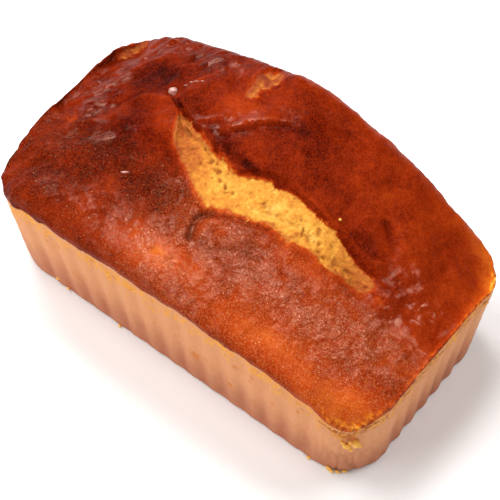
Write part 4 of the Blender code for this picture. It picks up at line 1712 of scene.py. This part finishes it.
@dataclass(frozen=True)
class LedgeLines:
    """Thin brown edges of the torn ledges under the crust line."""

    slow: FineGrain = FineGrain(0.007)
    slow_stray: float = 1.6
    fast: FineGrain = FineGrain(0.0012, roughness=0.7)
    fast_stray: float = 0.7
    gaps: FineGrain = FineGrain(0.0035, 2.0)
    gap_band: Band = (0.36, 0.52)
    line_band: Band = (0.3, 0.8)

    def build(self, book: NodeBook, place: Wire) -> Wire:
        """Draw the edges.

        Args:
            book: The material's nodes.
            place: Place of the shaded point.

        Returns:
            Values from 0 to 1.
        """
        turns = book.mask("depth") * (LEDGE_REACH / LEDGE_STEP)
        turns = turns + (book.noise(place, self.slow) - NOISE_MIDDLE) * self.slow_stray
        turns = turns + (book.noise(place, self.fast) - NOISE_MIDDLE) * self.fast_stray
        whole = book.noise(place, self.gaps).eased(*self.gap_band)
        return turns.wave().eased(*self.line_band) * book.mask("flaked") * whole


@dataclass(frozen=True)
class Sheen:
    """How one layer of the crust mirrors light: how much, how roughly and how unevenly."""

    level: float
    roughness: float
    uneven: float
    limits: Band


@dataclass(frozen=True)
class CrustFinish:
    """Glossy browned crust: dull and glazed layers, a leathery relief, and a painted sheen, pale flecks and
    glints painted into its colour.
    """

    bake_stops: tuple = (
        (0.0, (0.93, 0.48, 0.07)),
        (0.07, (0.88, 0.385, 0.036)),
        (0.16, (0.76, 0.235, 0.016)),
        (0.26, (0.62, 0.128, 0.01)),
        (0.4, (0.48, 0.066, 0.006)),
        (0.52, (0.37, 0.037, 0.0034)),
        (0.66, (0.26, 0.02, 0.002)),
        (0.78, (0.165, 0.0105, 0.0012)),
        (0.9, (0.085, 0.004, 0.0006)),
        (1.0, (0.03, 0.0015, 0.0004)),
    )
    # Pinkish colour of the painted sheen and of its pale flecks.
    painted_sheen_colour: Colour = (0.6, 0.2, 0.06)
    glint_colour: Colour = (0.88, 0.5, 0.27)
    glaze_tint: tuple[float, float, float, float] = (1.0, 0.6, 0.44, 1.0)
    ledges: LedgeLines = LedgeLines()
    dull: Sheen = Sheen(0.02, 0.42, 0.3, (0.25, 0.8))
    glazed: Sheen = Sheen(1.0, 0.13, 0.2, (0.08, 0.5))
    speckle: FineGrain = FineGrain(0.0009, 4.0, 0.75)
    glint: FineGrain = FineGrain(0.0006, 2.0)
    blotch: FineGrain = FineGrain(0.006)
    patch: FineGrain = FineGrain(0.0042)
    fleck: FineGrain = FineGrain(0.0007, 2.0, 0.65)
    leather: FineGrain = FineGrain(0.0022, 2.0, 0.5)
    front_band: Band = (0.002, 0.016)
    right_band: Band = (-0.045, -0.01)
    grainy_right: float = 0.7
    grainy_least: float = 0.3
    patch_band: Band = (0.4, 0.56)
    patch_share: float = 0.45
    speckle_tone: float = 0.8
    speckle_tone_least: float = 0.12
    blotch_tone: float = 0.18
    blotch_tone_glossy: float = 0.14
    sheen_tone: float = 0.64
    sheen_pull: float = 0.6
    ledge_tone: float = 0.22
    flake_paler: float = 0.06
    pale_share: float = 1.45
    pale_lost_by_bake: float = 1.1
    painted_sheen_band: Band = (0.4, 0.6)
    painted_sheen_share: float = 0.12
    fleck_band: Band = (0.46, 0.64)
    fleck_share: float = 0.38
    fleck_least: float = 0.02
    glint_band: Band = (0.63, 0.74)
    glint_share: float = 0.32
    glint_least: float = 0.08
    cluster_band: Band = (0.64, 0.74)
    cluster_places: Band = (0.5, 0.6)
    cluster_share: float = 0.5
    leather_share: float = 0.45
    leather_least: float = 0.12
    leather_depth: float = 0.0012
    wrinkle_size: float = 0.0015
    wrinkle_band: Band = (0.02, 0.2)
    wrinkle_share: float = 0.2
    speckle_share: float = 0.06
    fine_depth: float = 0.0009

    def _tone(self, book: NodeBook, place: Wire, grains: tuple[Wire, Wire], glossy: Wire) -> Wire:
        """Browning of the crust, with speckles and blotches.

        Args:
            book: The material's nodes.
            place: Place of the shaded point.
            grains: The speckles and the blotches.
            glossy: Share of the front's sheens.

        Returns:
            The tone, from 0 to 1.
        """
        speckle, blotch = grains
        bake = book.mask("bake")
        tone = bake + (speckle - NOISE_MIDDLE) * (bake * self.speckle_tone + self.speckle_tone_least)
        tone = tone + (blotch - NOISE_MIDDLE) * (self.blotch_tone - glossy * self.blotch_tone_glossy)
        tone = (tone + (self.sheen_tone - tone) * glossy * self.sheen_pull).held()
        ledges = self.ledges.build(book, place) * self.ledge_tone
        return (tone + ledges - book.mask("flaked") * self.flake_paler).held()

    def _layer(self, book: NodeBook, sheen: Sheen, blotch: Wire, sockets: dict) -> Wire:
        """One of the crust's two layers.

        Args:
            book: The material's nodes.
            sheen: How the layer mirrors light.
            blotch: The blotches, which make its roughness uneven.
            sockets: Colour and normal.

        Returns:
            The layer's shader.
        """
        roughness = sheen.roughness - (blotch - NOISE_MIDDLE) * sheen.uneven
        return book.shader({
            **sockets,
            "Roughness": roughness.held(*sheen.limits),
            "Specular IOR Level": sheen.level,
            "Specular Tint": self.glaze_tint,
        })

    def build(self, book: NodeBook, place: Wire) -> Wire:
        """Add the crust's shader.

        Args:
            book: The material's nodes.
            place: Place of the shaded point.

        Returns:
            The shader.
        """
        speckle, glint, blotch, patch, fleck, leather = (
            book.noise(place, grain)
            for grain in (self.speckle, self.glint, self.blotch, self.patch, self.fleck, self.leather)
        )
        front = (book.axis(place, "Y") * -1.0).eased(*self.front_band)
        right = book.axis(place, "X").eased(*self.right_band)
        unbroken = 1.0 - front * (1.0 - patch.eased(*self.patch_band)) * self.patch_share
        haze = book.mask("haze") * unbroken
        glossy = haze * front
        grainy = front * (right * self.grainy_right + self.grainy_least)
        pale = (self.pale_share - book.mask("bake") * self.pale_lost_by_bake).held()

        colour = book.ramp(self._tone(book, place, (speckle, blotch), glossy), self.bake_stops)
        # Painted sheen: a pinkish colour mixed into the glazed front crust, with pale flecks of the same
        # colour.
        painted_sheen = haze * grainy * speckle.eased(*self.painted_sheen_band) * self.painted_sheen_share
        flecks = fleck.eased(*self.fleck_band) * (grainy * self.fleck_share + self.fleck_least) * pale
        colour = book.mix(painted_sheen + flecks, colour, self.painted_sheen_colour)
        # Painted glints: small pale specks mixed into the base colour, more of them in clusters on the
        # front.
        glints = glint.eased(*self.glint_band) * (grainy * self.glint_share + self.glint_least) * pale
        glint_clusters = glint.eased(*self.cluster_band) * blotch.eased(*self.cluster_places) * front
        colour = book.mix(glints + glint_clusters * self.cluster_share, colour, self.glint_colour)

        normal = book.bump(leather * (glossy * self.leather_share + self.leather_least), self.leather_depth)
        wrinkle = book.cells(place, self.wrinkle_size).eased(*self.wrinkle_band)
        fine = wrinkle * glossy * self.wrinkle_share + speckle * self.speckle_share
        normal = book.bump(fine, self.fine_depth, normal=normal)
        sockets = {"Base Color": colour, "Normal": normal}
        dull, glazed = (self._layer(book, sheen, blotch, sockets) for sheen in (self.dull, self.glazed))
        return book.blend(haze, dull, glazed)


@dataclass(frozen=True)
class CrumbFinish:
    """Soft open crumb, with painted shade in its pores."""

    crumb_stops: tuple = (
        (0.0, (0.86, 0.48, 0.095)),
        (0.08, (0.79, 0.37, 0.045)),
        (0.18, (0.69, 0.27, 0.028)),
        (0.28, (0.55, 0.17, 0.018)),
        (0.42, (0.4, 0.085, 0.009)),
        (0.6, (0.3, 0.042, 0.005)),
        (1.0, (0.1, 0.008, 0.001)),
    )
    pore_shade_colour: Colour = (0.34, 0.095, 0.01)
    pit_share: float = 0.95
    grain: FineGrain = FineGrain(0.0012, 4.0, 0.7)
    grain_tone: float = 0.42
    grain_depth: float = 0.0006
    grain_strength: float = 0.8
    fine: FineGrain = FineGrain(0.0005, 2.0)
    fine_depth: float = 0.00025
    fine_strength: float = 0.7
    roughness: float = 0.75
    level: float = 0.25
    glow: float = 0.05
    glow_reach: tuple[float, float, float] = (0.0016, 0.0008, 0.0003)

    def build(self, book: NodeBook, place: Wire) -> Wire:
        """Add the crumb's shader.

        Args:
            book: The material's nodes.
            place: Place of the shaded point.

        Returns:
            The shader.
        """
        grain = book.noise(place, self.grain)
        tone = (book.mask("bake") + (grain - NOISE_MIDDLE) * self.grain_tone).held()
        normal = book.bump(grain, self.grain_depth, self.grain_strength)
        normal = book.bump(book.noise(place, self.fine), self.fine_depth, self.fine_strength, normal)
        return book.shader({
            # Painted shade: the pores, most along the creases, are darkened towards a brown.
            "Base Color": book.mix(book.mask("pit") * self.pit_share, book.ramp(tone, self.crumb_stops),
                                   self.pore_shade_colour),
            "Roughness": self.roughness,
            "Normal": normal,
            "Specular IOR Level": self.level,
            "Subsurface Weight": self.glow,
            "Subsurface Radius": self.glow_reach,
            "Subsurface Scale": 1.0,
        })


@dataclass(frozen=True)
class SideFinish:
    """Dry tan side with a darker foot, painted shade in the flutes' grooves and the corner's creases,
    golden streaks and small pits.
    """

    pale: Colour = (0.74, 0.32, 0.135)
    foot: Colour = (0.5, 0.175, 0.085)
    groove: Colour = (0.42, 0.115, 0.05)
    gold: Colour = (0.86, 0.37, 0.03)
    toasted: Colour = (0.6, 0.17, 0.012)
    pit: Colour = (0.66, 0.19, 0.014)
    ledge: Colour = (0.4, 0.085, 0.008)
    ledges: LedgeLines = LedgeLines()
    cloud: FineGrain = FineGrain(0.011, 3.0, 0.55)
    grain: FineGrain = FineGrain(0.0008, 4.0, 0.75)
    rough: FineGrain = FineGrain(0.003, 5.0, 0.65)
    foot_stray: float = 0.02
    foot_band: Band = (0.002, 0.036)
    foot_share: float = 0.85
    groove_foot_share: float = 0.75
    groove_least: float = 0.1
    groove_band: Band = (0.25, 0.6)
    grain_band: Band = (0.35, 0.75)
    grain_share: float = 0.22
    toasted_band: Band = (0.46, 0.66)
    gold_share: float = 0.95
    pit_share: float = 0.85
    rough_depth: float = 0.0006
    rough_strength: float = 0.5
    grain_depth: float = 0.00025
    grain_strength: float = 0.7
    roughness: float = 0.72
    level: float = 0.3
    glow: float = 0.08
    glow_reach: tuple[float, float, float] = (0.0024, 0.001, 0.0005)

    def build(self, book: NodeBook, place: Wire) -> Wire:
        """Add the sides' shader.

        Args:
            book: The material's nodes.
            place: Place of the shaded point.

        Returns:
            The shader.
        """
        cloud, grain, rough = (book.noise(place, kind) for kind in (self.cloud, self.grain, self.rough))
        height = book.axis(place, "Z") + (cloud - NOISE_MIDDLE) * self.foot_stray
        foot = (1.0 - height.eased(*self.foot_band)).held()
        # Painted shade: the flutes' grooves and the corner's creases are darkened, most near the foot.
        groove = book.mask("groove") * (foot * self.groove_foot_share + self.groove_least)
        toasted = book.mix(grain.eased(*self.toasted_band), self.gold, self.toasted)
        colour: Wire | Colour = self.pale
        for share, over in (
            (foot * self.foot_share, self.foot),
            (groove * cloud.eased(*self.groove_band), self.groove),
            (grain.eased(*self.grain_band) * self.grain_share, self.groove),
            (book.mask("gold") * self.gold_share, toasted),
            (book.mask("pit") * self.pit_share, self.pit),
            (self.ledges.build(book, place), self.ledge),
        ):
            colour = book.mix(share, colour, over)
        normal = book.bump(rough, self.rough_depth, self.rough_strength)
        return book.shader({
            "Base Color": colour,
            "Roughness": self.roughness,
            "Normal": book.bump(grain, self.grain_depth, self.grain_strength, normal),
            "Specular IOR Level": self.level,
            "Subsurface Weight": self.glow,
            "Subsurface Radius": self.glow_reach,
            "Subsurface Scale": 1.0,
        })


@dataclass(frozen=True)
class CakeFinish:
    """Glazed crust, torn crumb and dry case side, mixed by the skin's masks."""

    name: str = "baked_cake"
    crust: CrustFinish = CrustFinish()
    crumb: CrumbFinish = CrumbFinish()
    side: SideFinish = SideFinish()
    ragged: FineGrain = FineGrain(0.001, roughness=0.7)
    crumb_stray: float = 0.8
    crumb_band: Band = (0.3, 0.7)
    side_stray: float = 0.6
    side_band: Band = (0.4, 0.6)

    def build(self) -> bpy.types.Material:
        """Make the material.

        Returns:
            The finished material.
        """
        book = NodeBook(self.name)
        place = book.place()
        ragged = book.noise(place, self.ragged) - NOISE_MIDDLE
        crumb = (book.mask("crumb") + ragged * self.crumb_stray).eased(*self.crumb_band)
        side = (book.mask("side") + ragged * self.side_stray).eased(*self.side_band)
        crust, torn, dry = (part.build(book, place) for part in (self.crust, self.crumb, self.side))
        return book.finish(book.blend(side, book.blend(crumb, crust, torn), dry))


@dataclass(frozen=True)
class FloorFinish:
    """Plain pale floor."""

    name: str = "pale_floor"
    colour: Colour = (0.92, 0.92, 0.92)
    roughness: float = 0.9
    level: float = 0.1

    def build(self) -> bpy.types.Material:
        """Make the material.

        Returns:
            The finished material.
        """
        book = NodeBook(self.name)
        return book.finish(book.shader({
            "Base Color": self.colour,
            "Roughness": self.roughness,
            "Specular IOR Level": self.level,
        }))


@dataclass(frozen=True)
class PlainFinish:
    """Grained colour with or without a wet gloss, for the small lumps."""

    name: str
    light: Colour
    dark: Colour
    grain: FineGrain = FineGrain(0.0008, roughness=0.7)
    roughness: float = 0.7
    gloss: float = 0.0
    dark_band: Band = (0.35, 0.65)
    depth: float = 0.0003
    level: float = 0.3
    gloss_roughness: float = 0.04

    def build(self) -> bpy.types.Material:
        """Make the material.

        Returns:
            The finished material.
        """
        book = NodeBook(self.name)
        grain = book.noise(book.place(), self.grain)
        return book.finish(book.shader({
            "Base Color": book.mix(grain.eased(*self.dark_band), self.light, self.dark),
            "Roughness": self.roughness,
            "Normal": book.bump(grain, self.depth),
            "Specular IOR Level": self.level,
            "Coat Weight": self.gloss,
            "Coat Roughness": self.gloss_roughness,
        }))


def add_piece(name: str, points: Array, faces: list, material: bpy.types.Material) -> bpy.types.Object:
    """Make one smooth piece of the loaf that rides on its body.

    Args:
        name: Name of the piece.
        points: Points in metres, one a row.
        faces: Point numbers of each face.
        material: Finish of the piece.

    Returns:
        The piece, linked to the scene.
    """
    mesh = bpy.data.meshes.new(name)
    mesh.from_pydata([tuple(point) for point in points], [], faces)
    mesh.shade_smooth()
    mesh.update()
    mesh.materials.append(material)
    piece = bpy.data.objects.new(name, mesh)
    bpy.context.scene.collection.objects.link(piece)
    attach(piece, BODY)
    log.info("%s: %d points, %d faces", name, len(mesh.vertices), len(mesh.polygons))
    return piece


@dataclass(frozen=True)
class Lump:
    """One small rounded lump: its middle, half sizes and turn seen from above."""

    x: float
    y: float
    z: float | None
    half_length: float
    half_width: float
    half_height: float
    turn: float = 0.0


def lumps_of(rows: tuple) -> tuple[Lump, ...]:
    """Lumps from rows of place and half sizes in millimetres, with or without a turn in degrees."""
    return tuple(Lump(*(value and value * MM for value in row[:6]), *row[6:]) for row in rows)


@dataclass(frozen=True)
class LumpPiece:
    """Several small lumps joined into one piece."""

    name: str
    lumps: tuple[Lump, ...]
    finish: PlainFinish
    unevenness: float
    seed: int
    subdivisions: int = 3
    swell: NoiseKind = NoiseKind(1.2, 2)
    swell_step: float = 3.0

    def build(self, loaf_points: Array) -> bpy.types.Object:
        """Make the lumps and set them down.

        Args:
            loaf_points: Points of the finished loaf, on which lumps without a height lie.

        Returns:
            The joined piece.
        """
        ball = bmesh.new()
        bmesh.ops.create_icosphere(ball, subdivisions=self.subdivisions, radius=1.0)
        unit = np.array([vertex.co[:] for vertex in ball.verts])
        ball_faces = [[vertex.index for vertex in face.verts] for face in ball.faces]
        ball.free()
        grain = Grain(self.seed)
        points, faces = [], []
        for number, lump in enumerate(self.lumps):
            swell = 1.0 + self.unevenness * self.swell.over(grain, unit + self.swell_step * number)
            shape = unit * swell[:, None] * (lump.half_length, lump.half_width, lump.half_height)
            turned_x, turned_y = turned(shape[:, 0], shape[:, 1], -lump.turn)
            height = lump.z
            if height is None:
                away = np.hypot(loaf_points[:, 0] - lump.x, loaf_points[:, 1] - lump.y)
                height = loaf_points[np.argmin(away), 2]
            placed = np.stack([turned_x + lump.x, turned_y + lump.y, shape[:, 2] + height], axis=1)
            offset = len(unit) * number
            points.append(np.clip(placed, CAD_BOX[0], CAD_BOX[1]))
            faces += [[offset + index for index in face] for face in ball_faces]
        return add_piece(self.name, np.concatenate(points), faces, self.finish.build())


LOOSE_CRUMBS = LumpPiece(
    name="loose_crumbs",
    lumps=lumps_of((
        (95.7, -48.6, 37, 2, 1.7, 1.9),
        (92.7, -50.6, 34, 1.8, 1.3, 1.4, 30),
        (94, -50, 38, 1.1, 0.8, 0.9),
        (91.1, -51.3, 36.5, 1.1, 0.8, 0.8),
        (96.8, -46.4, 33, 0.8, 0.7, 0.7),
        (94.1, -49.4, 31, 0.9, 0.8, 0.8),
        (74.5, -51, 1.2, 1, 0.7, 0.8, 20),
        (84.8, -50, 1.2, 2.2, 0.7, 1, -10),
        (88, -48.7, 1, 1.4, 0.6, 0.7, 20),
        (90.3, -46.6, 0.9, 1.2, 0.7, 0.6, 40),
        (-67.3, -51.3, 5, 1, 0.6, 0.7),
        (-61.4, -51.3, 2.4, 0.8, 0.6, 0.7),
        (-31, -51.4, 1.2, 0.8, 0.6, 0.7),
        (41.4, 10.8, None, 0.7, 0.6, 0.6),
        (10.9, -11.3, None, 1.5, 0.16, 0.4, 72),
    )),
    finish=PlainFinish("loose_crumb", (0.98, 0.58, 0.12), (0.86, 0.38, 0.055)),
    unevenness=0.1,
    seed=71,
)
# Small glossy syrup drops whose pale pinkish colour is a painted highlight; the thin ones near the tear's
# left tip and the flat one at the front are painted glints.
GLAZE_HIGHLIGHT_DROPS = LumpPiece(
    name="glaze_highlight_drops",
    lumps=lumps_of((
        (-56.6, 22.2, None, 2.4, 2.1, 2.6, 40),
        (-53, 26.4, None, 0.9, 0.3, 0.4, 38),
        (-51.3, 28.4, None, 0.9, 0.3, 0.4, 20),
        (-49.3, 29.3, None, 1.3, 0.3, 0.4, 38),
        (-46.7, 30.4, None, 1, 0.3, 0.4, 25),
        (-48.3, -20.7, None, 1.8, 0.6, 0.5, 38),
    )),
    finish=PlainFinish("syrup_highlight_drop", (0.6, 0.3, 0.24), (0.42, 0.17, 0.12), FineGrain(0.001, roughness=0.7),
                       roughness=0.35, gloss=1.0),
    unevenness=0.2,
    seed=72,
)


@dataclass
class Loaf:
    """The whole cake: its skin with crust, tear and sides."""

    builder: SkinBuilder
    surface: CakeSurface
    finish: CakeFinish
    name: str = "loaf_skin"

    def build(self) -> bpy.types.Object:
        """Make the loaf's mesh, dress it and set it on its body.

        Returns:
            The loaf.
        """
        skin = self.builder.build()
        masks, rough = self.surface.read(skin)
        normals = point_normals(skin.points, skin.quads)
        points = skin.points + normals * held_inside(skin.points, normals, rough)[:, None]
        faces = skin.quads.tolist() + [[int(number) for number in skin.base_ring]]
        points = np.clip(points, CAD_BOX[0], CAD_BOX[1])
        loaf = add_piece(self.name, points, faces, self.finish.build())
        for mask in Surface.names():
            layer = loaf.data.attributes.new(mask, "FLOAT", "POINT")
            layer.data.foreach_set("value", getattr(masks, mask).astype(np.float32))
        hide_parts(LOAF_NODE)
        for piece in (LOOSE_CRUMBS, GLAZE_HIGHLIGHT_DROPS):
            piece.build(points)
        return loaf


@dataclass(frozen=True)
class Lamp:
    """One soft rectangular light."""

    name: str
    place: tuple[float, float, float]
    size: tuple[float, float]
    power: float
    target: tuple[float, float, float] = (0.0, 0.0, 0.05)

    def build(self) -> bpy.types.Object:
        """Make the light and turn it to its target.

        Returns:
            The light.
        """
        data = bpy.data.lights.new(self.name, "AREA")
        data.shape = "RECTANGLE"
        data.size, data.size_y = self.size
        data.energy = self.power
        lamp = bpy.data.objects.new(self.name, data)
        lamp.location = self.place
        toward = Vector(self.target) - Vector(self.place)
        lamp.rotation_euler = toward.to_track_quat("-Z", "Y").to_euler()
        bpy.context.scene.collection.objects.link(lamp)
        return lamp


@dataclass(frozen=True)
class Studio:
    """Camera, floor and lights."""

    turn: float = 38.661
    height_angle: float = 57.737
    roll: float = -0.538
    distance: float = 0.8
    aim_height: float = 0.034275
    focal_pixels: float = 1829.609
    image_pixels: float = 500.0
    centre: tuple[float, float] = (245.19, 245.8)
    sensor: float = 36.0
    floor_size: float = 6.0
    world_strength: float = 0.04
    lamps: tuple[Lamp, ...] = (
        Lamp("key", (-0.8, 0.38, 0.8), (0.4, 0.4), 5.3),
        Lamp("overhead", (-0.35, -0.2, 1.25), (0.45, 0.45), 9.0),
        Lamp("sheen", (-0.27, 0.33, 1.2), (0.32, 0.32), 3.0),
        Lamp("right_back", (0.38, 0.45, 1.16), (0.4, 0.4), 5.5),
        Lamp("left_back", (-1.2, 0.65, 0.3), (0.9, 0.4), 1.8),
        Lamp("front", (-0.8, -1.15, 0.6), (0.8, 0.6), 10.6),
        Lamp("right", (1.2, -0.45, 0.7), (0.7, 0.6), 5.0),
    )

    def _camera(self) -> None:
        """Camera at the photograph's angle."""
        turn = math.radians(self.turn)
        up_angle = math.radians(self.height_angle)
        roll = math.radians(self.roll)
        back = Vector((math.sin(turn) * math.cos(up_angle), -math.cos(turn) * math.cos(up_angle),
                       math.sin(up_angle)))
        right = Vector((math.cos(turn), math.sin(turn), 0.0))
        up = back.cross(right)
        rolled_right = right * math.cos(roll) + up * math.sin(roll)
        rolled_up = up * math.cos(roll) - right * math.sin(roll)
        data = bpy.data.cameras.new("camera")
        data.sensor_width = self.sensor
        data.lens = self.focal_pixels / self.image_pixels * self.sensor
        middle = self.image_pixels / 2
        data.shift_x = (middle - self.centre[0]) / self.image_pixels
        data.shift_y = (self.centre[1] - middle) / self.image_pixels
        camera = bpy.data.objects.new("camera", data)
        axes = Matrix((rolled_right, rolled_up, back)).transposed().to_4x4()
        axes.translation = Vector((0.0, 0.0, self.aim_height)) + back * self.distance
        camera.matrix_world = axes
        bpy.context.scene.collection.objects.link(camera)
        bpy.context.scene.camera = camera

    def _floor(self) -> bpy.types.Object:
        """Plain floor under the loaf.

        Returns:
            The floor.
        """
        shape = bmesh.new()
        bmesh.ops.create_grid(shape, x_segments=1, y_segments=1, size=self.floor_size / 2)
        mesh = bpy.data.meshes.new("floor")
        shape.to_mesh(mesh)
        shape.free()
        mesh.materials.append(FloorFinish().build())
        floor = bpy.data.objects.new("floor", mesh)
        bpy.context.scene.collection.objects.link(floor)
        return floor

    def build(self) -> None:
        """Set up camera, world, floor and lamps."""
        self._camera()
        self._floor()
        scene = bpy.context.scene
        scene.view_settings.view_transform = "Standard"
        world = bpy.data.worlds.new("studio")
        world.use_nodes = True
        background = world.node_tree.nodes["Background"]
        background.inputs["Color"].default_value = (1.0, 1.0, 1.0, 1.0)
        background.inputs["Strength"].default_value = self.world_strength
        scene.world = world
        for lamp in self.lamps:
            lamp.build()


def main() -> None:
    """Build the studio and the loaf in order."""
    logging.basicConfig(level=logging.INFO, format="%(message)s")
    Studio().build()
    case = CaseForm()
    dome = Dome(case)
    split = Split()
    builder = SkinBuilder(case, dome, split)
    Loaf(builder, CakeSurface(case, dome, split), CakeFinish()).build()


if __name__ == "__main__":
    main()
